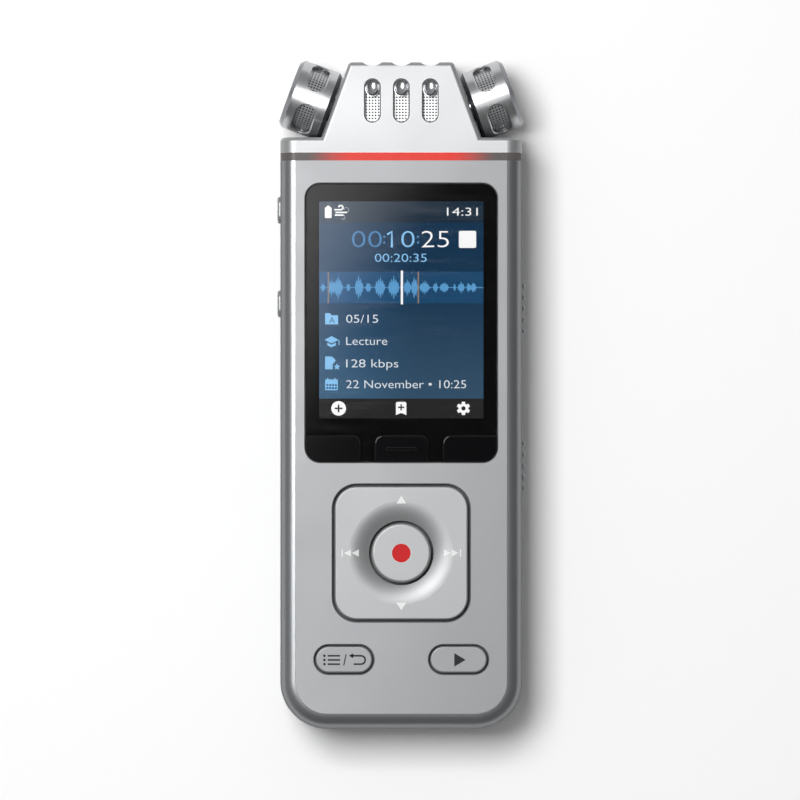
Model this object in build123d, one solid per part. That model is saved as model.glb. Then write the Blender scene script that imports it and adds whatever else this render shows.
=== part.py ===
from build123d import *
import math
import os

# A handheld digital voice recorder that lies on its back: X across, Y from the tail to the microphone
# head, Z up out of the display. The origin is the centre of the footprint, on the resting face.
# All sizes are millimetres.

# ---- overall sizes -----------------------------------------------------------------------------
BODY_WIDTH = 44.8
LENGTH = 124.0
BODY_DEPTH = 16.4
CORNER_RADIUS = 8.7
EDGE_RADIUS = 2.8
PROUD = 0.6

# ---- shells ------------------------------------------------------------------------------------
SIDE_WALL = 1.4
END_WALL = 1.5
LEDGE = 1.2
FRONT_PLATE_T = 1.2
BACK_COVER_T = 1.6
CHASSIS_T = 1.0
BACK_LIP_T = 1.0
SEAM = 0.05
FIT = 0.1
BREAK = 0.15

# ---- microphone head ---------------------------------------------------------------------------
HEAD_LENGTH = 16.7
GUIDE_T = 1.5
GUIDE_RING = 2.0
SHOULDER = 2.8
HEAD_WALL = 1.3
SHOULDER_RADIUS = 2.0
HEAD_EDGE = 0.8
SLOT_WIDTH = 2.7
SLOT_LENGTH = 7.8
SLOT_PITCH = 5.35
SLOT_DROP = 7.1
RIM_BEVEL = 0.25
FLUTE_DEPTH = 0.7
FLUTE_WIDTH = 3.6
MESH_T = 0.3
MESH_GAP = 0.25
RIB_X = 11.0
RIB_WIDTH = 3.0

# ---- drum microphones --------------------------------------------------------------------------
DRUM_RADIUS = 6.6
DRUM_WIDTH = 8.3
DRUM_ABOVE_HEAD = 0.6
DRUM_BESIDE_BODY = 0.3
DRUM_TILT = 20.0
DRUM_CHAMFER = 0.75
DRUM_WALL = 0.9
DRUM_FLOOR = 1.0
DRUM_GAP = 0.25
SADDLE_GAP = 0.35
NECK_RADIUS = 2.6
DRUM_WINDOW_WIDTH = 3.4
DRUM_WINDOW_ARC = 63.0
DRUM_WINDOW_TURN = 47.0
GRILLE_T = 0.5
GRILLE_SINK = 0.25
GRILLE_LIP = 0.7
DRUM_CAPSULE_GAP = 0.95
DRUM_CAPSULE_LENGTH = 4.2

# ---- display and keys --------------------------------------------------------------------------
LENS_WIDTH = 35.4
LENS_LENGTH = 51.45
LENS_RADIUS = 2.7
LENS_TOP_MARGIN = 4.3
LENS_PROUD = 0.05
LCD_WIDTH = 33.0
LCD_LENGTH = 45.0
LCD_T = 2.1
LCD_DROP = 1.1
LCD_RIM = 0.3
VIEW_WIDTH = 30.6
VIEW_LENGTH = 40.8
ADHESIVE_T = 0.1

SOFTKEY_LENGTH = 4.85
CENTRE_KEY_WIDTH = 9.8
FINGER_WIDTH = 2.8
SOFTKEY_RADIUS = 1.4
SOFTKEY_PROUD = 0.35
DASH_LENGTH = 5.6
DASH_WIDTH = 0.5
DASH_HEIGHT = 0.2

NAV_SIZE = 24.6
NAV_RADIUS = 4.1
NAV_GAP = 0.45
NAV_PROUD = 0.3
NAV_BELOW_LENS = 16.85
NAV_FLANGE = 1.1
NAV_FLANGE_T = 0.4
NAV_ROCK_DEG = 1.2
BOWL_MARGIN = 2.7
BOWL_DEPTH = 0.9
RECORD_RADIUS = 5.5
RECORD_GAP = 0.5
RECORD_PROUD = 0.4
DOT_RADIUS = 1.75
DOT_T = 0.8
DOT_SINK = 0.05

PILL_LENGTH = 10.5
PILL_WIDTH = 4.9
PILL_GAP = 0.3
PILL_X = 10.6
PILL_BELOW_NAV = 19.7
PILL_PROUD = 0.3
FLANGE = 0.7
FLANGE_T = 0.5

KEY_TRAVEL = 0.35
KEY_CLEAR = 0.1
DOME_HEIGHT = 1.05
DOME_SIZE = 3.2
STEM_RADIUS = 1.2

# ---- side controls -----------------------------------------------------------------------------
VOLUME_LENGTH = 5.0
VOLUME_HEIGHT = 3.0
VOLUME_TRAVEL = 0.3
VOLUME_UP_DROP = 9.05
VOLUME_PITCH = 17.4
SLIDER_LENGTH = 12.0
SLIDER_HEIGHT = 4.2
SLIDER_T = 0.65
SLIDER_TRAVEL = 1.5
SLIDER_SINK = 0.05
SLIDER_GAP = 0.15
SLIDER_DROP = 27.3
SLIDER_PITCH = 29.3
POST_SIZE = 2.6
POST_HEIGHT = 1.8
WIPER_SIZE = 1.2
BUMP_RADIUS = 0.65
BUMP_PITCH = 2.08
BUMP_COUNT = 5

# ---- sockets -----------------------------------------------------------------------------------
JACK_BORE_RADIUS = 1.8
JACK_NOSE_RADIUS = 2.95
JACK_DEPTH = 13.0
JACK_BODY_WIDTH = 6.0
JACK_BODY_HEIGHT = 5.0
JACK_END_WALL = 1.0
MIC_JACK_DROP = 45.3
JACK_PITCH = 14.0
USB_WIDTH = 7.5
USB_HEIGHT = 2.6
USB_DEPTH = 6.5
USB_SHELL = 0.3
CARD_WIDTH = 11.2
CARD_T = 1.0
CARD_SHELL = 0.22
CARD_DEPTH = 14.8
CARD_DROP = 79.3

# ---- insides -----------------------------------------------------------------------------------
BOARD_T = 1.0
BOARD_DROP = 2.6
BOARD_CLEAR = 0.25
BOSS_RADIUS = 2.0
BOSS_INSET = 2.0
LOWER_BOSS_RISE = 7.5
WALL_OVERLAP = 0.2
WINDOW_WIDTH = 16.0
WINDOW_BOTTOM = 4.5
MAT_MARGIN = 2.6
MAT_HOLE_GAP = 0.4
POST_OUTSET = 0.15
MAT_RADIUS = 3.0
LED_PITCH = 5.0
UPPER_BOSS_DROP = 3.7
SCREW_RADIUS = 0.9
SCREW_HEAD_RADIUS = 1.7
SCREW_HEAD_T = 1.0
SCREW_CLEAR = 0.1
BOARD_SCREW_RADIUS = 0.6
BOARD_SCREW_HEAD_RADIUS = 1.2
BOARD_SCREW_HEAD_T = 0.6
BATTERY = (30.0, 46.0, 3.5)
PAD_T = 0.3
SPEAKER_RADIUS = 10.0
SPEAKER_HEIGHT = 4.0
SPEAKER_DROP = 19.3
GRILLE_HOLE_RADIUS = 0.55
GRILLE_RING_PITCH = 2.1
GRILLE_RINGS = 4

# ---- places worked out from the sizes above ----------------------------------------------------
TOP_Y = LENGTH / 2
TAIL_Y = -LENGTH / 2
HEAD_TOP_Y = TOP_Y - DRUM_ABOVE_HEAD
GUIDE_TOP_Y = HEAD_TOP_Y - HEAD_LENGTH
BODY_TOP_Y = GUIDE_TOP_Y - GUIDE_T
HALF_WIDTH = BODY_WIDTH / 2
MID_Z = BODY_DEPTH / 2
PLATE_BOTTOM = BODY_DEPTH - FRONT_PLATE_T
CHASSIS_BOTTOM = PLATE_BOTTOM - CHASSIS_T
BOARD_TOP = CHASSIS_BOTTOM - BOARD_DROP
BOARD_BOTTOM = BOARD_TOP - BOARD_T
DOME_TOP = BOARD_TOP + DOME_HEIGHT
FOOT_Z = DOME_TOP + KEY_TRAVEL + KEY_CLEAR
BACK_LIP_TOP = BACK_COVER_T + BACK_LIP_T
CAVITY_HALF = HALF_WIDTH - SIDE_WALL
OPENING_HALF = HALF_WIDTH - EDGE_RADIUS - LEDGE
INNER_TOP_Y = BODY_TOP_Y - END_WALL
WINDOW_TOP = CHASSIS_BOTTOM - 0.7

LENS_TOP_Y = BODY_TOP_Y - LENS_TOP_MARGIN
LENS_BOTTOM_Y = LENS_TOP_Y - LENS_LENGTH
LENS_Y = (LENS_TOP_Y + LENS_BOTTOM_Y) / 2
LCD_Y = LENS_TOP_Y - LCD_DROP - LCD_LENGTH / 2
SOFTKEY_Y = LENS_BOTTOM_Y + SOFTKEY_LENGTH / 2
SIDE_KEY_INNER = CENTRE_KEY_WIDTH / 2 + FINGER_WIDTH
SIDE_KEY_WIDTH = LENS_WIDTH / 2 - SIDE_KEY_INNER
SIDE_KEY_X = SIDE_KEY_INNER + SIDE_KEY_WIDTH / 2
NAV_Y = LENS_BOTTOM_Y - NAV_BELOW_LENS
PILL_Y = NAV_Y - PILL_BELOW_NAV
NAV_BOTTOM = CHASSIS_BOTTOM + 0.05
NAV_OUTER = NAV_SIZE + 2 * NAV_FLANGE
MAT_GAP = 0.3
MAT_T = 0.5
MAT_TOP = NAV_BOTTOM - MAT_GAP
RECORD_FLANGE_R = RECORD_RADIUS + FLANGE + 0.1
MAT_SIDE = NAV_SIZE - MAT_MARGIN
MAT_HOLE_R = RECORD_FLANGE_R + MAT_HOLE_GAP
POST_REACH = (MAT_HOLE_R + MAT_SIDE / 2) / 2 + POST_OUTSET
VOLUME_YS = (BODY_TOP_Y - VOLUME_UP_DROP, BODY_TOP_Y - VOLUME_UP_DROP - VOLUME_PITCH)
SLIDER_YS = (BODY_TOP_Y - SLIDER_DROP, BODY_TOP_Y - SLIDER_DROP - SLIDER_PITCH)
JACK_YS = (BODY_TOP_Y - MIC_JACK_DROP, BODY_TOP_Y - MIC_JACK_DROP - JACK_PITCH)
CARD_Y = BODY_TOP_Y - CARD_DROP
BOSS_X = OPENING_HALF - BOSS_INSET
BOSS_YS = (TAIL_Y + LOWER_BOSS_RISE, BODY_TOP_Y - UPPER_BOSS_DROP)
BOSS_PLACES = [(side * BOSS_X, y) for side in (-1, 1) for y in BOSS_YS]
SPEAKER_Y = BODY_TOP_Y - SPEAKER_DROP
BATTERY_Y = SPEAKER_Y - SPEAKER_RADIUS - 1.5 - BATTERY[1] / 2
SLOT_Y = HEAD_TOP_Y - SLOT_DROP

TILT = math.radians(DRUM_TILT)
DRUM_RISE = (DRUM_WIDTH / 2 - DRUM_CHAMFER) * math.sin(TILT) + DRUM_RADIUS * math.cos(TILT)
DRUM_REACH = DRUM_WIDTH / 2 * math.cos(TILT) + (DRUM_RADIUS - DRUM_CHAMFER) * math.sin(TILT)
DRUM_Y = TOP_Y - DRUM_RISE
DRUM_X = HALF_WIDTH + DRUM_BESIDE_BODY - DRUM_REACH
FLANK_OFFSET = DRUM_WIDTH / 2 + DRUM_GAP
MESH_RADIUS = DRUM_RADIUS - DRUM_WALL - 0.05
DRUM_CAPSULE_RADIUS = MESH_RADIUS - MESH_T - DRUM_CAPSULE_GAP
GRILLE_RADIUS = DRUM_RADIUS - DRUM_CHAMFER - GRILLE_LIP
GRILLE_SEAT = DRUM_WIDTH / 2 - GRILLE_SINK - GRILLE_T


# ---- small tools -------------------------------------------------------------------------------
def block(x0, x1, y0, y1, z0, z1):
    """A box between two opposite corners."""
    return Pos((x0 + x1) / 2, (y0 + y1) / 2, (z0 + z1) / 2) * Box(x1 - x0, y1 - y0, z1 - z0)


def raised(sketch, z0, z1):
    """A sketch in XY extruded from z0 to z1."""
    return Pos(0, 0, z0) * extrude(sketch, z1 - z0)


def along_x(sketch, x0, x1):
    """A sketch drawn in (Y, Z) extruded along X from x0 to x1."""
    return extrude(Plane(origin=(x0, 0, 0), x_dir=(0, 1, 0), z_dir=(1, 0, 0)) * sketch, x1 - x0)


def along_y(sketch, y0, y1):
    """A sketch drawn in (X, Z) extruded along Y from y0 to y1."""
    return extrude(Plane(origin=(0, y0, 0), x_dir=(1, 0, 0), z_dir=(0, -1, 0)) * sketch, y0 - y1)


def pill(length, width):
    """A flat obround, its long side along the first axis."""
    return SlotOverall(length, width)


def body_outline(inset, top_y):
    """The plan of the body taken in by inset: round at the tail, square where it meets the head."""
    half = HALF_WIDTH - inset
    low = TAIL_Y + inset
    plan = Pos(0, (low + top_y) / 2) * Rectangle(2 * half, top_y - low)
    return fillet(plan.vertices().group_by(Axis.Y)[0], CORNER_RADIUS - inset)


def section_outline(inset):
    """The body's cross-section in (X, Z), taken in by inset."""
    outline = RectangleRounded(BODY_WIDTH - 2 * inset, BODY_DEPTH - 2 * inset, EDGE_RADIUS - inset)
    return Pos(0, MID_Z) * outline


def edges_at(shape, z):
    """The edges of a shape that lie in the plane at height z."""
    return shape.edges().filter_by_position(Axis.Z, z - 1e-4, z + 1e-4)


def screw(radius, length, head_radius, head_t):
    """A pan screw that points up: its head's outer face is at z = 0."""
    body = Cylinder(head_radius, head_t, align=(Align.CENTER, Align.CENTER, Align.MIN))
    body += Pos(0, 0, head_t) * Cylinder(radius, length, align=(Align.CENTER, Align.CENTER, Align.MIN))
    drive = [Rot(0, 0, a) * Box(head_radius * 1.2, head_radius * 0.28, head_t * 0.9) for a in (0, 90)]
    return body - drive


# ---- shells ------------------------------------------------------------------------------------
def mid_frame():
    """Gunmetal side frame: a ledge for each cover, an end wall, screw bosses and side openings."""
    frame = raised(body_outline(0, BODY_TOP_Y), 0, BODY_DEPTH)
    rims = [e for z in (0, BODY_DEPTH) for e in edges_at(frame, z) if e.center().Y < BODY_TOP_Y - 0.01]
    frame = fillet(rims, EDGE_RADIUS)
    past = BODY_TOP_Y + 1
    frame -= raised(body_outline(EDGE_RADIUS, past), PLATE_BOTTOM, BODY_DEPTH + 1)
    frame -= raised(body_outline(EDGE_RADIUS, past), -1, BACK_COVER_T)
    frame -= raised(body_outline(EDGE_RADIUS + LEDGE, INNER_TOP_Y), BACK_COVER_T - 1, PLATE_BOTTOM + 1)
    frame -= raised(body_outline(SIDE_WALL, INNER_TOP_Y), BACK_LIP_TOP, CHASSIS_BOTTOM)
    for x, y in BOSS_PLACES:
        side = 1 if x > 0 else -1
        post = Pos(x, y) * Circle(BOSS_RADIUS)
        wall_x = CAVITY_HALF + WALL_OVERLAP
        web = Pos(side * (BOSS_X + wall_x) / 2, y) * Rectangle(wall_x - BOSS_X, 2 * BOSS_RADIUS)
        frame += raised(post + web, BACK_COVER_T, BOARD_BOTTOM)
        hole = SCREW_RADIUS + SCREW_CLEAR
        frame -= Pos(x, y, BACK_COVER_T + 2.2) * Cylinder(hole, 4.8)
        frame -= Pos(x, y, BOARD_BOTTOM - 1.2) * Cylinder(BOARD_SCREW_RADIUS + SCREW_CLEAR, 2.6)
    frame -= end_wall_openings()
    for y in VOLUME_YS:
        hole = pill(VOLUME_LENGTH + 2 * SLIDER_GAP, VOLUME_HEIGHT + 2 * SLIDER_GAP)
        frame -= along_x(Pos(y, MID_Z) * hole, -HALF_WIDTH - 1, -CAVITY_HALF + WALL_OVERLAP)
    for y in JACK_YS:
        nose = Pos(y, MID_Z) * Circle(JACK_NOSE_RADIUS + FIT)
        frame -= along_x(nose, -HALF_WIDTH - 1, -CAVITY_HALF + WALL_OVERLAP)
    for y in SLIDER_YS:
        frame -= slider_recess(y)
    card = Pos(CARD_Y, card_z()) * Rectangle(CARD_WIDTH + 0.6, CARD_T + 0.4)
    frame -= along_x(card, CAVITY_HALF - WALL_OVERLAP, HALF_WIDTH + 1)
    usb = Pos(0, usb_z()) * RectangleRounded(USB_WIDTH + 0.5, USB_HEIGHT + 0.4, 1.0)
    frame -= along_y(usb, TAIL_Y - 1, TAIL_Y + SIDE_WALL + 0.2)
    return frame


def end_wall_openings():
    """The wire and light window in the frame's end wall, and the two holes for the head's screws."""
    low = INNER_TOP_Y - 0.5
    high = BODY_TOP_Y + 0.5
    hole = Circle(SCREW_RADIUS + SCREW_CLEAR)
    middle_z = (WINDOW_BOTTOM + WINDOW_TOP) / 2
    window = along_y(Pos(0, middle_z) * Rectangle(WINDOW_WIDTH, WINDOW_TOP - WINDOW_BOTTOM), low, high)
    return [window, *[along_y(Pos(side * RIB_X, MID_Z) * hole, low, high) for side in (-1, 1)]]


def slider_recess(y):
    """The shallow track that a slider's cap runs in, and the slot through the wall for its post."""
    track = pill(SLIDER_LENGTH + 2 * (SLIDER_TRAVEL + SLIDER_GAP), SLIDER_HEIGHT + 2 * SLIDER_GAP)
    slot = Rectangle(POST_SIZE + 2 * (SLIDER_TRAVEL + SLIDER_GAP), POST_HEIGHT + 2 * SLIDER_GAP)
    floor = HALF_WIDTH - SLIDER_SINK - SLIDER_T - SLIDER_GAP / 2
    return [along_x(Pos(y, MID_Z) * track, floor, HALF_WIDTH + 1),
            along_x(Pos(y, MID_Z) * slot, CAVITY_HALF - WALL_OVERLAP, floor + 0.1)]


def front_plate():
    """Silver face plate with openings for the lens, the navigation pad and the two pill keys."""
    plate = raised(body_outline(EDGE_RADIUS + SEAM, BODY_TOP_Y), PLATE_BOTTOM, BODY_DEPTH)
    gap = LENS_RADIUS + FIT
    lens = Pos(0, LENS_Y) * RectangleRounded(LENS_WIDTH + 2 * FIT, LENS_LENGTH + 2 * FIT, gap)
    side = NAV_SIZE + 2 * NAV_GAP
    pad = Pos(0, NAV_Y) * RectangleRounded(side, side, NAV_RADIUS + NAV_GAP)
    plate -= raised(lens, PLATE_BOTTOM - 1, BODY_DEPTH + 1)
    plate -= raised(pad, PLATE_BOTTOM - 1, BODY_DEPTH + 1)
    for side_sign in (-1, 1):
        hole = Pos(side_sign * PILL_X, PILL_Y) * pill(PILL_LENGTH + 2 * PILL_GAP, PILL_WIDTH + 2 * PILL_GAP)
        plate -= raised(hole, PLATE_BOTTOM - 1, BODY_DEPTH + 1)
    rims = [e for wire in plate.faces().sort_by(Axis.Z)[-1].inner_wires() for e in wire.edges()]
    return chamfer(rims, BREAK)


def back_cover():
    """Back plate with the speaker's round field of holes and four countersunk screw seats."""
    cover = raised(body_outline(EDGE_RADIUS + SEAM, BODY_TOP_Y), 0, BACK_COVER_T)
    rims = [e for e in edges_at(cover, 0) if e.center().Y < BODY_TOP_Y - 0.01]
    cover = chamfer(rims, BREAK)
    holes = [Pos(0, SPEAKER_Y) * Circle(GRILLE_HOLE_RADIUS)]
    for ring in range(1, GRILLE_RINGS):
        turn = PolarLocations(ring * GRILLE_RING_PITCH, 6 * ring)
        holes += [Pos(0, SPEAKER_Y) * place * Circle(GRILLE_HOLE_RADIUS) for place in turn]
    cover -= [raised(hole, -1, BACK_COVER_T + 1) for hole in holes]
    for x, y in BOSS_PLACES:
        cover -= Pos(x, y) * Cylinder(SCREW_HEAD_RADIUS + SCREW_CLEAR, 2 * (SCREW_HEAD_T + SCREW_CLEAR))
        cover -= Pos(x, y) * Cylinder(SCREW_RADIUS + SCREW_CLEAR, 3 * BACK_COVER_T)
    return cover


def cover_screws():
    """Four screws that hold the back cover to the frame's bosses."""
    one = screw(SCREW_RADIUS, 3.4, SCREW_HEAD_RADIUS, SCREW_HEAD_T)
    return Compound(children=[Pos(x, y, SCREW_CLEAR) * one for x, y in BOSS_PLACES])


def inner_chassis():
    """Black plate under the face plate that carries the lens and display and guides the keys."""
    plate = raised(body_outline(EDGE_RADIUS + LEDGE + FIT, INNER_TOP_Y - FIT), CHASSIS_BOTTOM, PLATE_BOTTOM)
    openings = [Pos(0, LCD_Y) * Rectangle(LCD_WIDTH + 2 * FIT, LCD_LENGTH + 2 * FIT)]
    for x in (-SIDE_KEY_X, 0, SIDE_KEY_X):
        openings.append(Pos(x, SOFTKEY_Y) * Rectangle(2 * STEM_RADIUS + 2 * FIT, 2 * STEM_RADIUS + 2 * FIT))
    room = NAV_OUTER + 2 * FIT + 0.4
    openings.append(Pos(0, NAV_Y) * RectangleRounded(room, room, NAV_RADIUS + NAV_FLANGE + FIT + 0.2))
    grown = 2 * (FLANGE + FIT + 0.1)
    for side in (-1, 1):
        openings.append(Pos(side * PILL_X, PILL_Y) * pill(PILL_LENGTH + grown, PILL_WIDTH + grown))
    return plate - [raised(hole, CHASSIS_BOTTOM - 1, PLATE_BOTTOM + 1) for hole in openings]


# ---- display -----------------------------------------------------------------------------------
def softkey_plan(x, width, slack):
    """Plan of one softkey between two fingers of the lens; slack grows it for the notch."""
    low = LENS_BOTTOM_Y - (1 if slack > 0 else 0)
    high = LENS_BOTTOM_Y + SOFTKEY_LENGTH + slack
    plan = Pos(x, (low + high) / 2) * Rectangle(width + 2 * slack, high - low)
    corners = plan.vertices().group_by(Axis.Y)[-1]
    inner = [v for v in corners if abs(v.X) < LENS_WIDTH / 2 - SOFTKEY_RADIUS]
    return fillet(inner, SOFTKEY_RADIUS + slack)


def lens_plan():
    """The lens's rounded outline, before the softkeys are cut from its lower edge."""
    return Pos(0, LENS_Y) * RectangleRounded(LENS_WIDTH, LENS_LENGTH, LENS_RADIUS)


def display_lens():
    """Clear, black-bordered lens with three notches along its lower edge for the softkeys."""
    plan = lens_plan()
    for x, width in ((-SIDE_KEY_X, SIDE_KEY_WIDTH), (0, CENTRE_KEY_WIDTH), (SIDE_KEY_X, SIDE_KEY_WIDTH)):
        plan -= softkey_plan(x, width, FIT)
    lens = raised(plan, PLATE_BOTTOM, BODY_DEPTH + LENS_PROUD)
    return chamfer(edges_at(lens, BODY_DEPTH + LENS_PROUD), BREAK)


def softkey(x, width, dash):
    """One softkey: a cap in the lens's notch, a stem through the chassis and a foot over its switch."""
    cap_bottom = PLATE_BOTTOM + KEY_TRAVEL + KEY_CLEAR
    top = BODY_DEPTH + SOFTKEY_PROUD
    plan = lens_plan() & softkey_plan(x, width, 0)
    key = raised(plan, cap_bottom, top)
    key = fillet(edges_at(key, top), 0.2)
    reach = 2 * STEM_RADIUS
    foot_top = CHASSIS_BOTTOM - FIT
    key += block(x - STEM_RADIUS, x + STEM_RADIUS, SOFTKEY_Y - STEM_RADIUS, SOFTKEY_Y + STEM_RADIUS,
                 FOOT_Z, cap_bottom)
    key += block(x - reach, x + reach, SOFTKEY_Y - STEM_RADIUS, SOFTKEY_Y + STEM_RADIUS, FOOT_Z, foot_top)
    if dash:
        key += raised(Pos(x, SOFTKEY_Y) * pill(DASH_LENGTH, DASH_WIDTH), top - 0.1, top + DASH_HEIGHT)
    return key


def lcd_module():
    """Colour display panel with its backlight tray, seated in the chassis window."""
    top = PLATE_BOTTOM - ADHESIVE_T
    plan = Pos(0, LCD_Y) * Rectangle(LCD_WIDTH, LCD_LENGTH)
    glass_plan = Pos(0, LCD_Y) * Rectangle(LCD_WIDTH - 2 * LCD_RIM, LCD_LENGTH - 2 * LCD_RIM)
    return raised(plan, top - LCD_T, top - LCD_RIM) + raised(glass_plan, top - LCD_RIM, top)


def lcd_adhesive():
    """Black adhesive frame that bonds the display's border to the back of the lens."""
    frame = Rectangle(LCD_WIDTH - 2 * LCD_RIM, LCD_LENGTH - 2 * LCD_RIM) - Rectangle(VIEW_WIDTH, VIEW_LENGTH)
    return raised(Pos(0, LCD_Y) * frame, PLATE_BOTTOM - ADHESIVE_T, PLATE_BOTTOM)


def lcd_flex():
    """Ribbon that leaves the display's head end, bends round and lands on the board."""
    top = PLATE_BOTTOM - ADHESIVE_T - LCD_T + 0.9
    low = BOARD_TOP + 0.02
    radius = (top - low) / 2
    end = LCD_Y + LCD_LENGTH / 2
    bend = Pos(end, low + radius) * (Circle(radius) - Circle(radius - 0.15))
    bend &= Pos(end + radius, low + radius) * Rectangle(2 * radius, 2 * radius + 1)
    foot = Pos(end - 1.5, low + 0.075) * Rectangle(3.0, 0.15)
    return along_x(bend + foot, -6, 6)


# ---- keys --------------------------------------------------------------------------------------
def bowl():
    """The dished hollow round the record button, as a solid to take away from the pad."""
    top = BODY_DEPTH + NAV_PROUD
    rim = NAV_SIZE / 2 - BOWL_MARGIN
    hole = RECORD_RADIUS + RECORD_GAP
    floor = top - BOWL_DEPTH
    slope = Bezier((rim, 0, top), ((rim + hole) / 2, 0, top), (hole, 0, floor))
    back = Polyline((hole, 0, floor), (0, 0, floor), (0, 0, top + 1), (rim, 0, top + 1), (rim, 0, top))
    return Pos(0, NAV_Y) * revolve(make_face(slope + back), Axis.Z)


def nav_pad():
    """Square rocking pad with a dished centre, a hole for the record button and a flange under the plate."""
    top = BODY_DEPTH + NAV_PROUD
    pad = raised(Pos(0, NAV_Y) * RectangleRounded(NAV_SIZE, NAV_SIZE, NAV_RADIUS), NAV_BOTTOM, top)
    pad = fillet(edges_at(pad, top), 0.3)
    flange = Pos(0, NAV_Y) * RectangleRounded(NAV_OUTER, NAV_OUTER, NAV_RADIUS + NAV_FLANGE)
    pad += raised(flange, NAV_BOTTOM, NAV_BOTTOM + NAV_FLANGE_T)
    pad -= bowl()
    return pad - Pos(0, NAV_Y, top) * Cylinder(RECORD_RADIUS + RECORD_GAP, 6 * FRONT_PLATE_T)


def nav_mat():
    """Silicone actuator under the pad: a ring plate with one plunger over each of four dome switches."""
    plan = Pos(0, NAV_Y) * (RectangleRounded(MAT_SIDE, MAT_SIDE, MAT_RADIUS) - Circle(MAT_HOLE_R))
    mat = raised(plan, MAT_TOP - MAT_T, MAT_TOP)
    foot = DOME_TOP + KEY_CLEAR + POST_REACH * math.sin(math.radians(NAV_ROCK_DEG)) + 0.05
    for x, y in ((1, 0), (-1, 0), (0, 1), (0, -1)):
        place = Pos(x * POST_REACH, NAV_Y + y * POST_REACH)
        mat += raised(place * Circle(STEM_RADIUS), foot, MAT_TOP - MAT_T + 0.1)
    return mat


def record_button():
    """Round record key with a flange under the pad, a stem and a pocket for its red dot."""
    top = BODY_DEPTH + RECORD_PROUD
    base = FOOT_Z + 0.2
    key = raised(Circle(RECORD_RADIUS), base, top)
    key = fillet(edges_at(key, top), 0.45)
    key += raised(Circle(RECORD_FLANGE_R), base, base + FLANGE_T)
    key += raised(Circle(STEM_RADIUS), FOOT_Z, base + 0.1)
    key -= raised(Circle(DOT_RADIUS), top - DOT_SINK - DOT_T, top + 1)
    return Pos(0, NAV_Y) * key


def record_dot():
    """Red insert in the record key."""
    top = BODY_DEPTH + RECORD_PROUD - DOT_SINK
    return raised(Pos(0, NAV_Y) * Circle(DOT_RADIUS), top - DOT_T, top)


def pill_key(x):
    """Obround key with a flange under the face plate and a stem over its switch."""
    top = BODY_DEPTH + PILL_PROUD
    flange_top = PLATE_BOTTOM - FIT
    key = raised(Pos(x, PILL_Y) * pill(PILL_LENGTH, PILL_WIDTH), flange_top - FLANGE_T, top)
    key = fillet(edges_at(key, top), 0.3)
    flange = pill(PILL_LENGTH + 2 * FLANGE, PILL_WIDTH + 2 * FLANGE)
    key += raised(Pos(x, PILL_Y) * flange, flange_top - FLANGE_T, flange_top)
    return key + raised(Pos(x, PILL_Y) * Circle(STEM_RADIUS), FOOT_Z, flange_top - FLANGE_T + 0.1)


def volume_key(y):
    """Side key: an obround cap through the wall, a flange behind it and a stem to its switch."""
    outer = -HALF_WIDTH - PROUD
    inner = -CAVITY_HALF + 0.3
    cap = along_x(Pos(y, MID_Z) * pill(VOLUME_LENGTH, VOLUME_HEIGHT), outer, inner)
    face = cap.faces().sort_by(Axis.X)[0]
    cap = fillet(face.edges(), 0.4)
    cap += along_x(Pos(y, MID_Z) * pill(VOLUME_LENGTH + 1, VOLUME_HEIGHT + 1), inner, inner + FLANGE_T)
    return cap + along_x(Pos(y, MID_Z) * Circle(0.8), inner + FLANGE_T, inner + FLANGE_T + 0.5)


def slider_cap(y):
    """Slide key flush in its track, with a row of grip bumps and a post that carries the switch's wiper."""
    outer = HALF_WIDTH - SLIDER_SINK
    cap = along_x(Pos(y, MID_Z) * pill(SLIDER_LENGTH, SLIDER_HEIGHT), outer - SLIDER_T, outer)
    for n in range(BUMP_COUNT):
        along = y + (n - (BUMP_COUNT - 1) / 2) * BUMP_PITCH
        bump = Pos(HALF_WIDTH + PROUD - BUMP_RADIUS, along, MID_Z) * Sphere(BUMP_RADIUS)
        cap += bump & block(outer - 0.2, HALF_WIDTH + 2, along - 2, along + 2, 0, BODY_DEPTH)
    post = Rectangle(POST_SIZE, POST_HEIGHT)
    cap += along_x(Pos(y, MID_Z) * post, wiper_face() + FIT, outer - SLIDER_T + 0.1)
    pocket = Rectangle(WIPER_SIZE + 2 * SEAM, WIPER_SIZE + 2 * SEAM)
    return cap - along_x(Pos(y, MID_Z) * pocket, wiper_face(), wiper_tip() + SEAM)


def wiper_face():
    """Where the slide switches' housings end, towards the side wall."""
    return CAVITY_HALF - 1.3


def wiper_tip():
    """How far a wiper reaches into its slider's post."""
    return CAVITY_HALF - WALL_OVERLAP


def switch_wiper(y):
    """The moving contact block of one slide switch, held in the slider's post."""
    return along_x(Pos(y, MID_Z) * Rectangle(WIPER_SIZE, WIPER_SIZE), wiper_face() - 1.5, wiper_tip())


# ---- board and sockets -------------------------------------------------------------------------
def main_board():
    """Circuit board on the frame's bosses."""
    inset = EDGE_RADIUS + LEDGE + BOARD_CLEAR
    board = raised(body_outline(inset, INNER_TOP_Y - 0.8), BOARD_BOTTOM, BOARD_TOP)
    return board - [Pos(x, y, BOARD_BOTTOM) * Cylinder(BOARD_SCREW_RADIUS + SCREW_CLEAR, 4 * BOARD_T)
                    for x, y in BOSS_PLACES]


def board_screws():
    """Four screws that hold the board to the frame's bosses."""
    one = Rot(180, 0, 0) * screw(BOARD_SCREW_RADIUS, 2.0, BOARD_SCREW_HEAD_RADIUS, BOARD_SCREW_HEAD_T)
    return Compound(children=[Pos(x, y, BOARD_TOP + BOARD_SCREW_HEAD_T) * one for x, y in BOSS_PLACES])


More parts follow.
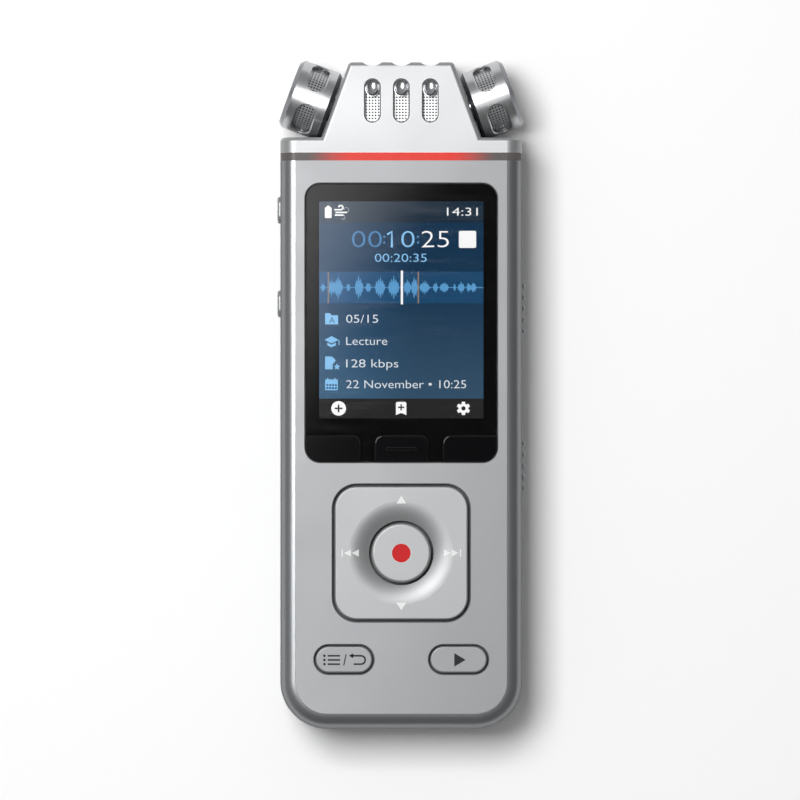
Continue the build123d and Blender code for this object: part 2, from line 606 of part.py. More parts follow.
def board_chips():
    """Processor, memory, audio and power chips on the board's underside."""
    chips = ((0, SPEAKER_Y, 12, 12, 1.2), (0, SPEAKER_Y - 16, 10, 12, 1.1), (3, NAV_Y + 21, 6, 6, 0.9),
             (0, PILL_Y, 5, 5, 0.9))
    made = [block(x - w / 2, x + w / 2, y - h / 2, y + h / 2, BOARD_BOTTOM - t, BOARD_BOTTOM)
            for x, y, w, h, t in chips]
    return Compound(children=made)


def dome_places():
    """Centres of the ten dome switches on the board's upper side."""
    nav = [(x * POST_REACH, NAV_Y + y * POST_REACH) for x, y in ((1, 0), (-1, 0), (0, 1), (0, -1), (0, 0))]
    soft = [(x, SOFTKEY_Y) for x in (-SIDE_KEY_X, 0, SIDE_KEY_X)]
    return nav + soft + [(-PILL_X, PILL_Y), (PILL_X, PILL_Y)]


def dome_switches():
    """Ten tactile switches: a square base with a low domed actuator."""
    rise = 0.35
    base = raised(RectangleRounded(DOME_SIZE, DOME_SIZE, 0.3), 0, DOME_HEIGHT - rise)
    one = base + raised(Circle(0.9), DOME_HEIGHT - rise, DOME_HEIGHT)
    return Compound(children=[Pos(x, y, BOARD_TOP) * one for x, y in dome_places()])


def side_switches():
    """Two right-angle switches under the board's left edge, one behind each volume key."""
    tip = -CAVITY_HALF + 0.3 + FLANGE_T + 0.5 + VOLUME_TRAVEL + 0.05
    made = []
    for y in VOLUME_YS:
        body = block(tip + 0.25, tip + 2.8, y - 2.2, y + 2.2, MID_Z - 1.2, BOARD_BOTTOM)
        made.append(body + along_x(Pos(y, MID_Z) * Circle(0.6), tip, tip + 0.4))
    return Compound(children=made)


def slide_switches():
    """Two slide switch housings under the board's right edge, slotted for their wipers."""
    made = []
    for y in SLIDER_YS:
        body = block(wiper_face() - 4, wiper_face(), y - 4.4, y + 4.4, MID_Z - 1.2, BOARD_BOTTOM)
        reach = WIPER_SIZE / 2 + SLIDER_TRAVEL + 0.2
        body -= block(wiper_face() - 1.7, wiper_face() + 1, y - reach, y + reach, MID_Z - 0.8, MID_Z + 0.8)
        made.append(body)
    return Compound(children=made)


def jack(y):
    """3.5 mm socket: a block under the board with a round nose that fills its hole in the frame."""
    mouth = -HALF_WIDTH + SLIDER_SINK
    body_start = -CAVITY_HALF + 0.4
    end = mouth + JACK_DEPTH + JACK_END_WALL
    body = block(body_start, end, y - JACK_BODY_WIDTH / 2, y + JACK_BODY_WIDTH / 2,
                 BOARD_BOTTOM - JACK_BODY_HEIGHT, BOARD_BOTTOM)
    body += along_x(Pos(y, MID_Z) * Circle(JACK_NOSE_RADIUS), mouth, body_start + 0.2)
    body -= along_x(Pos(y, MID_Z) * Circle(JACK_BORE_RADIUS), mouth - 1, mouth + JACK_DEPTH)
    ring = body.faces().sort_by(Axis.X)[0]
    rim = [e for e in ring.edges() if e.radius < JACK_BORE_RADIUS + 0.1]
    return chamfer(rim, 0.3)


def usb_z():
    """Height of the middle of the USB socket."""
    return BOARD_BOTTOM - USB_HEIGHT / 2


def usb_socket():
    """Micro-B socket shell at the tail, with its tongue."""
    mouth = TAIL_Y + 0.1
    outer = Pos(0, usb_z()) * RectangleRounded(USB_WIDTH, USB_HEIGHT, 0.8)
    inner = Pos(0, usb_z()) * RectangleRounded(USB_WIDTH - 2 * USB_SHELL, USB_HEIGHT - 2 * USB_SHELL, 0.5)
    shell = along_y(outer, mouth, mouth + USB_DEPTH) - along_y(inner, mouth - 1, mouth + USB_DEPTH - 0.8)
    return shell + block(-1.9, 1.9, mouth + 0.9, mouth + USB_DEPTH - 0.5, usb_z() + 0.05, usb_z() + 0.65)


def card_z():
    """Height of the middle of the memory card slot."""
    return BOARD_BOTTOM - CARD_SHELL - CARD_T / 2


def card_socket():
    """Memory card socket under the board's right edge, open towards the side wall."""
    outer_x = CAVITY_HALF - 0.3
    half = CARD_WIDTH / 2
    shell = block(outer_x - CARD_DEPTH, outer_x, CARD_Y - half - 1.2, CARD_Y + half + 1.2,
                  BOARD_BOTTOM - CARD_T - 2 * CARD_SHELL, BOARD_BOTTOM)
    return shell - block(outer_x - CARD_DEPTH + 0.6, outer_x + 1, CARD_Y - half, CARD_Y + half,
                         card_z() - CARD_T / 2, card_z() + CARD_T / 2)


def indicator_leds():
    """Three red lamps at the board's head end, facing the light guide's tongue."""
    y = INNER_TOP_Y - 1.7
    lamps = [block(x - 0.8, x + 0.8, y, y + 0.8, BOARD_TOP, BOARD_TOP + 0.7) for x in (-LED_PITCH, 0, LED_PITCH)]
    return Compound(children=lamps)


def battery():
    """Flat lithium-polymer cell."""
    width, length, height = BATTERY
    low = BACK_COVER_T + PAD_T
    cell = block(-width / 2, width / 2, BATTERY_Y - length / 2, BATTERY_Y + length / 2, low, low + height)
    return fillet(cell.edges().filter_by(Axis.Y), 0.8)


def battery_pad():
    """Adhesive foam between the cell and the back cover."""
    width, length, _ = BATTERY
    return raised(Pos(0, BATTERY_Y) * Rectangle(width - 6, length - 8), BACK_COVER_T, BACK_COVER_T + PAD_T)


def speaker():
    """Round loudspeaker that faces the back cover's holes: basket, magnet and cone rim."""
    low = BACK_COVER_T + PAD_T
    body = raised(Circle(SPEAKER_RADIUS), low, low + 1.6)
    body += raised(Circle(SPEAKER_RADIUS - 1.6), low + 1.6, low + 2.6)
    body += raised(Circle(SPEAKER_RADIUS * 0.55), low + 2.6, low + SPEAKER_HEIGHT)
    body -= raised(Circle(SPEAKER_RADIUS - 0.9), low - 1, low + 0.5)
    body += raised(Circle(2.6), low + 0.3, low + 0.6)
    return Pos(0, SPEAKER_Y) * body


def speaker_gasket():
    """Foam ring that seals the loudspeaker to the back cover."""
    ring = Circle(SPEAKER_RADIUS) - Circle(SPEAKER_RADIUS - 1.2)
    return raised(Pos(0, SPEAKER_Y) * ring, BACK_COVER_T, BACK_COVER_T + PAD_T)


# ---- light guide and microphone head -----------------------------------------------------------
def light_guide():
    """Smoked band between body and head: a ring of the body's section with a tongue to the lamps."""
    ring = section_outline(0) - section_outline(GUIDE_RING)
    guide = along_y(ring, BODY_TOP_Y, GUIDE_TOP_Y)
    tongue_low = BOARD_TOP + 0.1
    guide += block(-7.5, 7.5, INNER_TOP_Y - 0.6, GUIDE_TOP_Y, tongue_low, CHASSIS_BOTTOM - 0.9)
    return guide + block(-7.5, 7.5, BODY_TOP_Y, GUIDE_TOP_Y, tongue_low, BODY_DEPTH - GUIDE_RING + 0.2)


def flank_x(y, offset):
    """X of the head's right flank at height y, for a flank that stands offset inside the drum's centre."""
    base_x = DRUM_X - offset * math.cos(TILT)
    base_y = DRUM_Y - offset * math.sin(TILT)
    return base_x - (y - base_y) * math.tan(TILT)


def head_plan(inset, low_y):
    """Plan of the head's tower between the two drums, taken in by inset."""
    offset = FLANK_OFFSET + inset
    high_y = HEAD_TOP_Y - inset
    low = flank_x(low_y, offset)
    high = flank_x(high_y, offset)
    return make_face(Polyline((-low, low_y), (low, low_y), (high, high_y), (-high, high_y), close=True))


def drum_plane(side):
    """Local frame of one drum: its axis points outwards and to the head end, its first axis to the front."""
    axis = (side * math.cos(TILT), math.sin(TILT), 0)
    return Plane(origin=(side * DRUM_X, DRUM_Y, MID_Z), x_dir=(0, 0, 1), z_dir=axis)


def head_shell():
    """Cast microphone head: shoulders, a tower with three mesh windows, and a saddle under each drum."""
    base_top = GUIDE_TOP_Y + SHOULDER
    base = along_y(section_outline(0), GUIDE_TOP_Y, base_top)
    outer = [e for e in base.edges().filter_by_position(Axis.Y, base_top - 1e-4, base_top + 1e-4)
             if abs(e.center().X) > HALF_WIDTH - EDGE_RADIUS]
    base = fillet(outer, SHOULDER_RADIUS * 0.4)
    tower = raised(head_plan(0, GUIDE_TOP_Y), 0, BODY_DEPTH)
    upright = [e for e in tower.edges().filter_by(Axis.Z) if e.center().Y > HEAD_TOP_Y - 0.01]
    tower = fillet(upright, HEAD_EDGE)
    roll = [e for z in (0, BODY_DEPTH) for e in edges_at(tower, z) if e.center().Y > GUIDE_TOP_Y + 0.01]
    tower = fillet(roll, HEAD_EDGE)
    head = base + tower
    hollow_low = GUIDE_TOP_Y - 1
    hollow = raised(head_plan(HEAD_WALL, hollow_low), HEAD_WALL, BODY_DEPTH - HEAD_WALL)
    hollow += along_y(section_outline(GUIDE_RING), hollow_low, GUIDE_TOP_Y + 1.2)
    head -= hollow
    for side in (-1, 1):
        room = raised(Circle(DRUM_RADIUS + SADDLE_GAP), -FLANK_OFFSET, 2 * DRUM_WIDTH - FLANK_OFFSET)
        head -= drum_plane(side) * room
        head += head_rib(side)
        head -= drum_plane(side) * Pos(0, 0, -FLANK_OFFSET) * Cylinder(SCREW_RADIUS, 4 * HEAD_WALL)
        hole = Pos(side * RIB_X, MID_Z) * Circle(SCREW_RADIUS + SCREW_CLEAR)
        head -= along_y(hole, BODY_TOP_Y - 1, GUIDE_TOP_Y + 3.2)
    for n in (-1, 0, 1):
        head -= head_window(n * SLOT_PITCH)
        radius = ((FLUTE_WIDTH / 2) ** 2 + FLUTE_DEPTH ** 2) / (2 * FLUTE_DEPTH)
        flute = Pos(n * SLOT_PITCH, HEAD_TOP_Y - FLUTE_DEPTH + radius) * Circle(radius)
        head -= raised(flute, -1, BODY_DEPTH + 1)
        top_window = Pos(n * SLOT_PITCH, MID_Z) * Rot(0, 0, 90) * pill(SLOT_LENGTH, SLOT_WIDTH * 0.7)
        head -= along_y(top_window, HEAD_TOP_Y - 2 * HEAD_WALL, HEAD_TOP_Y + 1)
    return head


def head_window(x):
    """One obround window through the head's front and back walls, bevelled at both faces."""
    window = Pos(x, SLOT_Y) * Rot(0, 0, 90) * pill(SLOT_LENGTH, SLOT_WIDTH)
    cut = raised(window, -1, BODY_DEPTH + 1)
    rim = Pos(x, SLOT_Y) * Rot(0, 0, 90) * pill(SLOT_LENGTH + 2 * RIM_BEVEL, SLOT_WIDTH + 2 * RIM_BEVEL)
    cut += Pos(0, 0, BODY_DEPTH) * extrude(rim, -RIM_BEVEL, taper=45)
    return cut + extrude(rim, RIM_BEVEL, taper=45)


def head_rib(side):
    """Screw pillar inside the head that reaches through the light guide to the frame's end wall."""
    x = side * RIB_X
    rib = block(x - RIB_WIDTH / 2, x + RIB_WIDTH / 2, GUIDE_TOP_Y, GUIDE_TOP_Y + 4.2, HEAD_WALL - 0.1,
                BODY_DEPTH - HEAD_WALL + 0.1)
    return rib + along_y(Pos(x, MID_Z) * Circle(RIB_WIDTH / 2), BODY_TOP_Y, GUIDE_TOP_Y + 0.1)


def head_screws():
    """Two screws from inside the frame's end wall into the head's pillars."""
    one = screw(SCREW_RADIUS, 5.4, SCREW_HEAD_RADIUS, SCREW_HEAD_T)
    place = Plane(origin=(0, INNER_TOP_Y - SCREW_HEAD_T, 0), x_dir=(1, 0, 0), z_dir=(0, 1, 0))
    return Compound(children=[Pos(side * RIB_X, 0, MID_Z) * (place * one) for side in (-1, 1)])


def head_mesh():
    """Bent perforated sheet behind the head's windows: front, top and back in one hairpin."""
    low_y = SLOT_Y - SLOT_LENGTH / 2 - 1.0
    inset = HEAD_WALL + MESH_GAP
    outer_top = HEAD_TOP_Y - FLUTE_DEPTH - inset
    outer_front = BODY_DEPTH - inset

    def hairpin(shrink):
        high = outer_top - shrink
        width = outer_front - inset - 2 * shrink
        plan = Pos((low_y + high) / 2 - shrink, MID_Z) * Rectangle(high - low_y + 2 * shrink, width)
        return fillet(plan.vertices().group_by(Axis.X)[-1], 1.6 - shrink)

    half = SLOT_PITCH + SLOT_WIDTH / 2 + 0.6
    return along_x(hairpin(0) - hairpin(MESH_T), -half, half)


def head_capsule():
    """Centre microphone capsule standing in the head behind the mesh."""
    front = BODY_DEPTH - HEAD_WALL - MESH_GAP - MESH_T - 0.6
    return raised(Pos(0, SLOT_Y) * Circle(3.0), front - 2.7, front)


def head_capsule_boot():
    """Rubber boot that holds the centre capsule off the head's walls."""
    front = BODY_DEPTH - HEAD_WALL - MESH_GAP - MESH_T - 1.0
    boot = Circle(3.8) - Circle(3.0)
    cup = raised(boot, front - 3.0, front) + raised(Circle(3.8), front - 3.4, front - 2.9)
    return Pos(0, SLOT_Y) * (cup - raised(Circle(3.0), front - 2.3, front + 1))


def on_drum_band(edge):
    """Whether an edge of the drum is one of a window's, on the band between the end bevels."""
    middle = edge.position_at(0.5)
    on_band = abs(math.hypot(middle.X, middle.Y) - DRUM_RADIUS) < 0.01
    return on_band and edge.geom_type != GeomType.LINE and abs(middle.Z) < DRUM_WINDOW_WIDTH / 2 + 0.05


def drum_shell(side):
    """Drum housing: four windows round its rim, a closed inner end with a neck, a seat for its grille."""
    half = DRUM_WIDTH / 2
    drum = Cylinder(DRUM_RADIUS, DRUM_WIDTH)
    drum = chamfer(drum.edges().filter_by(GeomType.CIRCLE), DRUM_CHAMFER)
    inner = DRUM_RADIUS - DRUM_WALL
    drum -= raised(Circle(inner), -half + DRUM_FLOOR, GRILLE_SEAT)
    drum -= raised(Circle(GRILLE_RADIUS - 0.6), -half + DRUM_FLOOR, half + 1)
    drum -= raised(Circle(GRILLE_RADIUS), GRILLE_SEAT, half + 1)
    chord = 2 * DRUM_RADIUS * math.sin(math.radians(DRUM_WINDOW_ARC / 2))
    window = extrude(Plane.YZ * pill(chord, DRUM_WINDOW_WIDTH), 2 * DRUM_RADIUS)
    for quarter in range(4):
        drum -= Rot(0, 0, -side * (DRUM_WINDOW_TURN + 90 * quarter)) * window
    drum = chamfer([e for e in drum.edges() if on_drum_band(e)], RIM_BEVEL)
    drum += raised(Circle(NECK_RADIUS), -half - DRUM_GAP, -half + DRUM_FLOOR)
    drum -= raised(Circle(SCREW_RADIUS), -half - 1, -half + DRUM_FLOOR + 1)
    return drum_plane(side) * drum


def drum_mesh(side):
    """Perforated sleeve just inside the drum's windows."""
    low = -DRUM_WIDTH / 2 + DRUM_FLOOR
    ring = Circle(MESH_RADIUS) - Circle(MESH_RADIUS - MESH_T)
    return drum_plane(side) * raised(ring, low, GRILLE_SEAT - 0.6)


def drum_grille(side):
    """Perforated disc that closes the drum's outer end."""
    disc = raised(Circle(GRILLE_RADIUS - 0.05), GRILLE_SEAT, GRILLE_SEAT + GRILLE_T)
    return drum_plane(side) * disc


def drum_capsule(side):
    """Electret capsule inside the drum, facing out through the end grille."""
    front = GRILLE_SEAT - 0.8
    body = raised(Circle(DRUM_CAPSULE_RADIUS), front - DRUM_CAPSULE_LENGTH, front)
    return drum_plane(side) * body


def drum_screws():
    """One hollow screw through each flank of the head into the drum's neck; the leads pass through it."""
    made = []
    for side in (-1, 1):
        low = -FLANK_OFFSET - HEAD_WALL - 0.9
        head = raised(Circle(SCREW_RADIUS + 0.7), low, low + 0.8)
        shank = raised(Circle(SCREW_RADIUS - 0.05), low, -DRUM_WIDTH / 2 + DRUM_FLOOR - 0.1)
        made.append(drum_plane(side) * (head + shank - raised(Circle(0.4), low - 1, 0)))
    return Compound(children=made)


# ---- one file per piece ------------------------------------------------------------------------
def pieces():
    """Every node's name and shape."""
    made = {
        "mid_frame": mid_frame(),
        "front_plate": front_plate(),
        "back_cover": back_cover(),
        "cover_screws": cover_screws(),
        "inner_chassis": inner_chassis(),
        "display_lens": display_lens(),
        "lcd_module": lcd_module(),
        "lcd_adhesive": lcd_adhesive(),
        "lcd_flex": lcd_flex(),
        "softkey_left": softkey(-SIDE_KEY_X, SIDE_KEY_WIDTH, False),
        "softkey_centre": softkey(0, CENTRE_KEY_WIDTH, True),
        "softkey_right": softkey(SIDE_KEY_X, SIDE_KEY_WIDTH, False),
        "nav_pad": nav_pad(),
        "nav_mat": nav_mat(),
        "record_button": record_button(),
        "record_dot": record_dot(),
        "menu_key": pill_key(-PILL_X),
        "play_key": pill_key(PILL_X),
        "volume_up_key": volume_key(VOLUME_YS[0]),
        "volume_down_key": volume_key(VOLUME_YS[1]),
        "power_slider": slider_cap(SLIDER_YS[0]),
        "mode_slider": slider_cap(SLIDER_YS[1]),
        "power_switch_wiper": switch_wiper(SLIDER_YS[0]),
        "mode_switch_wiper": switch_wiper(SLIDER_YS[1]),
        "main_board": main_board(),
        "board_screws": board_screws(),
        "board_chips": board_chips(),
        "dome_switches": dome_switches(),
        "side_switches": side_switches(),
        "slide_switches": slide_switches(),
        "microphone_jack": jack(JACK_YS[0]),
        "headphone_jack": jack(JACK_YS[1]),
        "usb_socket": usb_socket(),
        "card_socket": card_socket(),
        "indicator_leds": indicator_leds(),
        "battery": battery(),
        "battery_pad": battery_pad(),
        "speaker": speaker(),
        "speaker_gasket": speaker_gasket(),
        "light_guide": light_guide(),
        "head_shell": head_shell(),
        "head_screws": head_screws(),
        "head_mesh": head_mesh(),
        "head_capsule": head_capsule(),
        "head_capsule_boot": head_capsule_boot(),
        "drum_screws": drum_screws(),
    }
    for name, side in (("left", -1), ("right", 1)):
        made["drum_shell_" + name] = drum_shell(side)
        made["drum_mesh_" + name] = drum_mesh(side)
        made["drum_grille_" + name] = drum_grille(side)
        made["drum_capsule_" + name] = drum_capsule(side)
    return made


os.makedirs("parts", exist_ok=True)
for node, shape in pieces().items():
    export_step(shape, "parts/" + node + ".step")
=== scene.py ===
import bpy
import math
from mathutils import Matrix, Vector


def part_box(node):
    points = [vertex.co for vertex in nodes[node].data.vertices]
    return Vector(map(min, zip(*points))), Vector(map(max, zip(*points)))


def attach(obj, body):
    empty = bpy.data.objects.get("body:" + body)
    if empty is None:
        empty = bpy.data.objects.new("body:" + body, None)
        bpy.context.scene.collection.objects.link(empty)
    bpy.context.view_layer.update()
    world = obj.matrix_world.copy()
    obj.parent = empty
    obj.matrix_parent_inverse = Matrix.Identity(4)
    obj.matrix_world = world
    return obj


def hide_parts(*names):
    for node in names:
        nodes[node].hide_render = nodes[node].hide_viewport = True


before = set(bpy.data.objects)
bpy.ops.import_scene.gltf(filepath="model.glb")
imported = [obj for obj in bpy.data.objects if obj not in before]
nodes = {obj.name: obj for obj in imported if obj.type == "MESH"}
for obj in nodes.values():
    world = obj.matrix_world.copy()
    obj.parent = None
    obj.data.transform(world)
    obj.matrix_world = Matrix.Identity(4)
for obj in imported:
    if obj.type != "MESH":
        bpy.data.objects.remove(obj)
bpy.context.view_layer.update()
MM = 0.001


# ---- Studio -------------------------------------------------------------------------------------
# The recorder lies on its back on a white table and is seen from straight above through a long lens.
# A soft box hangs over its upper left; the room is dim, and darkest beyond the tail and at the right.
CAMERA_PLACE = (-0.00024, -0.0011, 1.6604)
CAMERA_LENS = 400.0
KEY_PLACE = (-0.22, 0.20, 0.80)
KEY_WIDTH = 0.36
KEY_LENGTH = 0.40
KEY_POWER = 6.6
FLOOR_GLOW = 0.03

bpy.ops.object.select_all(action="DESELECT")
bpy.ops.object.camera_add(location=CAMERA_PLACE, rotation=(0, 0, 0))
camera = bpy.context.object
camera.data.lens = CAMERA_LENS
camera.data.sensor_width = 36
camera.data.clip_start = 0.01
camera.data.clip_end = 50
bpy.context.scene.camera = camera
bpy.context.scene.view_settings.view_transform = "Standard"

bpy.ops.object.light_add(type="AREA", location=KEY_PLACE)
key_box = bpy.context.object
key_box.name = "key_box"
key_back = Vector(KEY_PLACE).normalized()
key_across = Vector((0, 1, 0)).cross(key_back).normalized()
key_box.rotation_euler = Matrix((key_across, key_back.cross(key_across), key_back)).transposed().to_euler()
key_box.data.shape = "RECTANGLE"
key_box.data.size = KEY_WIDTH
key_box.data.size_y = KEY_LENGTH
key_box.data.energy = KEY_POWER

world = bpy.data.worlds.new("studio")
bpy.context.scene.world = world
world.use_nodes = True
sky = world.node_tree
sky.nodes.clear()
sky_out = sky.nodes.new("ShaderNodeOutputWorld")
sky_fill = sky.nodes.new("ShaderNodeBackground")
sky_way = sky.nodes.new("ShaderNodeTexCoord")
sky_split = sky.nodes.new("ShaderNodeSeparateXYZ")
sky.links.new(sky_way.outputs["Generated"], sky_split.inputs[0])
sky.links.new(sky_fill.outputs[0], sky_out.inputs["Surface"])


def maths(tree, operation, *values):
    """A maths node; each value is a number or a socket."""
    node = tree.nodes.new("ShaderNodeMath")
    node.operation = operation
    for socket, value in zip(node.inputs, values):
        if isinstance(value, (int, float)):
            socket.default_value = value
        else:
            tree.links.new(value, socket)
    return node.outputs[0]


def fade(tree, value, low, high, start=0.0, end=1.0):
    """Goes smoothly from start to end as value goes from low to high."""
    node = tree.nodes.new("ShaderNodeMapRange")
    node.interpolation_type = "SMOOTHSTEP"
    for label, number in (("From Min", low), ("From Max", high), ("To Min", start), ("To Max", end)):
        node.inputs[label].default_value = number
    tree.links.new(value, node.inputs["Value"])
    return node.outputs[0]


# The room: grey at the upper left, darker towards the lower right, and white at the horizon.
beyond = maths(sky, "ADD", maths(sky, "MULTIPLY", sky_split.outputs["Y"], -0.75),
               maths(sky, "MULTIPLY", sky_split.outputs["X"], 0.65))
room = fade(sky, beyond, -0.40, 0.45, 0.34, 0.17)
horizon = fade(sky, sky_split.outputs["Z"], 0.03, 0.15, 1.0, 0.0)
base_level = maths(sky, "ADD", room, maths(sky, "MULTIPLY", horizon, maths(sky, "SUBTRACT", 0.95, room)))
# Straight overhead is the dark front of the camera, with the edge of a pale panel at its upper left.
aside = maths(sky, "ADD", maths(sky, "MULTIPLY", sky_split.outputs["X"], -0.0388),
              maths(sky, "MULTIPLY", sky_split.outputs["Y"], 0.02))
off_zenith = maths(sky, "SUBTRACT", 1.0, sky_split.outputs["Z"])
overhead = fade(sky, off_zenith, 0.0015, 0.010, 1.0, 0.0)
panel = fade(sky, aside, 0.00024, 0.00092, 0.05, 2.1)
over_base = maths(sky, "SUBTRACT", panel, base_level)
level = maths(sky, "ADD", base_level, maths(sky, "MULTIPLY", overhead, over_base))
sky.links.new(level, sky_fill.inputs["Color"])

bpy.ops.object.select_all(action="DESELECT")
bpy.ops.mesh.primitive_circle_add(vertices=96, radius=14, fill_type="NGON", location=(0, 0, -0.02 * MM))
table = bpy.context.object
table.name = "table_top"
table_paint = bpy.data.materials.new("white_table")
table_paint.use_nodes = True
table_tree = table_paint.node_tree
table_shader = table_tree.nodes["Principled BSDF"]
table_shader.inputs["Base Color"].default_value = (0.9, 0.9, 0.9, 1)
table_shader.inputs["Roughness"].default_value = 0.9
table_shader.inputs["Specular IOR Level"].default_value = 0.1
table_shader.inputs["Emission Color"].default_value = (1, 1, 1, 1)
table_path = table_tree.nodes.new("ShaderNodeLightPath")
seen = maths(table_tree, "MAXIMUM", table_path.outputs["Is Camera Ray"], table_path.outputs["Is Glossy Ray"])
seen = maths(table_tree, "MAXIMUM", seen, table_path.outputs["Is Transmission Ray"])
table_glow = maths(table_tree, "MULTIPLY", seen, FLOOR_GLOW)
table_tree.links.new(table_glow, table_shader.inputs["Emission Strength"])
table.data.materials.append(table_paint)


# ---- Side frame ---------------------------------------------------------------------------------
# One gunmetal frame with rounded edges: it makes the sides and the tail, and both covers seat in it.
# Milled, fine-blasted and anodised, so it has a satin grain and slightly brighter worn edges.
EDGE_WIDTH = 0.18 * MM
# SKIRT_BLEND and SKIRT_SHADE set the painted shade below a key's skirt: how soft its edge is and how dark it
# is.
SKIRT_BLEND = 0.1 * MM
SKIRT_SHADE = 0.22


def srgb(code):
    """A colour written as six hex digits, as Blender's linear values."""
    parts = [int(code[i:i + 2], 16) / 255 for i in (0, 2, 4)]
    linear = [p / 12.92 if p <= 0.04045 else ((p + 0.055) / 1.055) ** 2.4 for p in parts]
    return (*linear, 1)


def new_group(name, inputs, outputs):
    """An empty shader node group with named sockets; inputs are (name, kind, value)."""
    group = bpy.data.node_groups.new(name, "ShaderNodeTree")
    for label, kind, value in inputs:
        socket = group.interface.new_socket(label, in_out="INPUT", socket_type="NodeSocket" + kind)
        if value is not None:
            socket.default_value = value
    for label, kind in outputs:
        group.interface.new_socket(label, in_out="OUTPUT", socket_type="NodeSocket" + kind)
    return group, group.nodes.new("NodeGroupInput"), group.nodes.new("NodeGroupOutput")


def satin_grain_group():
    """Fine blasted grain: it varies colour and roughness a little and gives a shallow bump."""
    tree, ins, outs = new_group("satin_grain", [
        ("Vector", "Vector", None), ("Colour", "Color", (0.5, 0.5, 0.5, 1)),
        ("Grain Size", "Float", 0.1), ("Fleck", "Float", 0.1), ("Roughness", "Float", 0.4),
        ("Depth", "Float", 0.2), ("Normal", "Vector", None)],
        [("Colour", "Color"), ("Roughness", "Float"), ("Normal", "Vector")])
    noise = tree.nodes.new("ShaderNodeTexNoise")
    noise.inputs["Detail"].default_value = 2.0
    tree.links.new(ins.outputs["Vector"], noise.inputs["Vector"])
    tree.links.new(maths(tree, "DIVIDE", 1000.0, ins.outputs["Grain Size"]), noise.inputs["Scale"])
    cloud = tree.nodes.new("ShaderNodeTexNoise")
    cloud.inputs["Scale"].default_value = 60.0
    cloud.inputs["Detail"].default_value = 3.0
    tree.links.new(ins.outputs["Vector"], cloud.inputs["Vector"])
    spread = maths(tree, "MULTIPLY_ADD", noise.outputs["Fac"], 2.0, -1.0)
    tint = tree.nodes.new("ShaderNodeVectorMath")
    tint.operation = "SCALE"
    tree.links.new(ins.outputs["Colour"], tint.inputs[0])
    tree.links.new(maths(tree, "MULTIPLY_ADD", spread, ins.outputs["Fleck"], 1.0), tint.inputs["Scale"])
    tree.links.new(tint.outputs[0], outs.inputs["Colour"])
    drift = maths(tree, "MULTIPLY_ADD", cloud.outputs["Fac"], 0.24, 0.88)
    tree.links.new(maths(tree, "MULTIPLY", drift, ins.outputs["Roughness"]), outs.inputs["Roughness"])
    bump = tree.nodes.new("ShaderNodeBump")
    bump.inputs["Distance"].default_value = 0.01 * MM
    tree.links.new(ins.outputs["Depth"], bump.inputs["Strength"])
    tree.links.new(noise.outputs["Fac"], bump.inputs["Height"])
    tree.links.new(ins.outputs["Normal"], bump.inputs["Normal"])
    tree.links.new(bump.outputs[0], outs.inputs["Normal"])
    return tree


def worn_edge_group():
    """Lightens a colour along sharp edges, where handling polishes the finish."""
    tree, ins, outs = new_group("worn_edge", [
        ("Colour", "Color", (0.5, 0.5, 0.5, 1)), ("Edge Colour", "Color", (0.8, 0.8, 0.8, 1)),
        ("Width", "Float", EDGE_WIDTH), ("Amount", "Float", 0.5)], [("Colour", "Color")])
    bevel = tree.nodes.new("ShaderNodeBevel")
    bevel.samples = 4
    tree.links.new(ins.outputs["Width"], bevel.inputs["Radius"])
    facing = tree.nodes.new("ShaderNodeNewGeometry")
    dot = tree.nodes.new("ShaderNodeVectorMath")
    dot.operation = "DOT_PRODUCT"
    tree.links.new(bevel.outputs[0], dot.inputs[0])
    tree.links.new(facing.outputs["Normal"], dot.inputs[1])
    share = maths(tree, "MULTIPLY", fade(tree, dot.outputs["Value"], 0.995, 0.86), ins.outputs["Amount"])
    blend = tree.nodes.new("ShaderNodeMix")
    blend.data_type = "RGBA"
    tree.links.new(share, blend.inputs["Factor"])
    tree.links.new(ins.outputs["Colour"], blend.inputs["A"])
    tree.links.new(ins.outputs["Edge Colour"], blend.inputs["B"])
    tree.links.new(blend.outputs["Result"], outs.inputs["Colour"])
    return tree


def crown_group():
    """The slight crown of a pressed face: it turns the normal a little towards each side and each end."""
    tree, ins, outs = new_group("soft_crown", [
        ("Vector", "Vector", None), ("Across", "Float", 0.0), ("Along", "Float", 0.0),
        ("Middle", "Float", 0.0)],
        [("Normal", "Vector")])
    split = tree.nodes.new("ShaderNodeSeparateXYZ")
    tree.links.new(ins.outputs["Vector"], split.inputs[0])
    along = maths(tree, "SUBTRACT", split.outputs["Y"], ins.outputs["Middle"])
    across_2 = maths(tree, "POWER", maths(tree, "ABSOLUTE", split.outputs["X"]), 2.0)
    along_2 = maths(tree, "POWER", maths(tree, "MAXIMUM", along, 0.0), 2.0)
    rise = maths(tree, "ADD", maths(tree, "MULTIPLY", across_2, ins.outputs["Across"]),
                 maths(tree, "MULTIPLY", along_2, ins.outputs["Along"]))
    bump = tree.nodes.new("ShaderNodeBump")
    bump.inputs["Strength"].default_value = 1.0
    bump.inputs["Distance"].default_value = 1.0
    tree.links.new(maths(tree, "MULTIPLY", rise, -1.0), bump.inputs["Height"])
    tree.links.new(bump.outputs[0], outs.inputs["Normal"])
    return tree


SATIN_GRAIN = satin_grain_group()
WORN_EDGE = worn_edge_group()
SOFT_CROWN = crown_group()


def place_group(tree, group, **inputs):
    """Puts a node group in a material; each input is a number, a colour or a socket."""
    node = tree.nodes.new("ShaderNodeGroup")
    node.node_tree = group
    for label, value in inputs.items():
        socket = node.inputs[label.replace("_", " ")]
        if isinstance(value, bpy.types.NodeSocket):
            tree.links.new(value, socket)
        else:
            socket.default_value = value
    return node


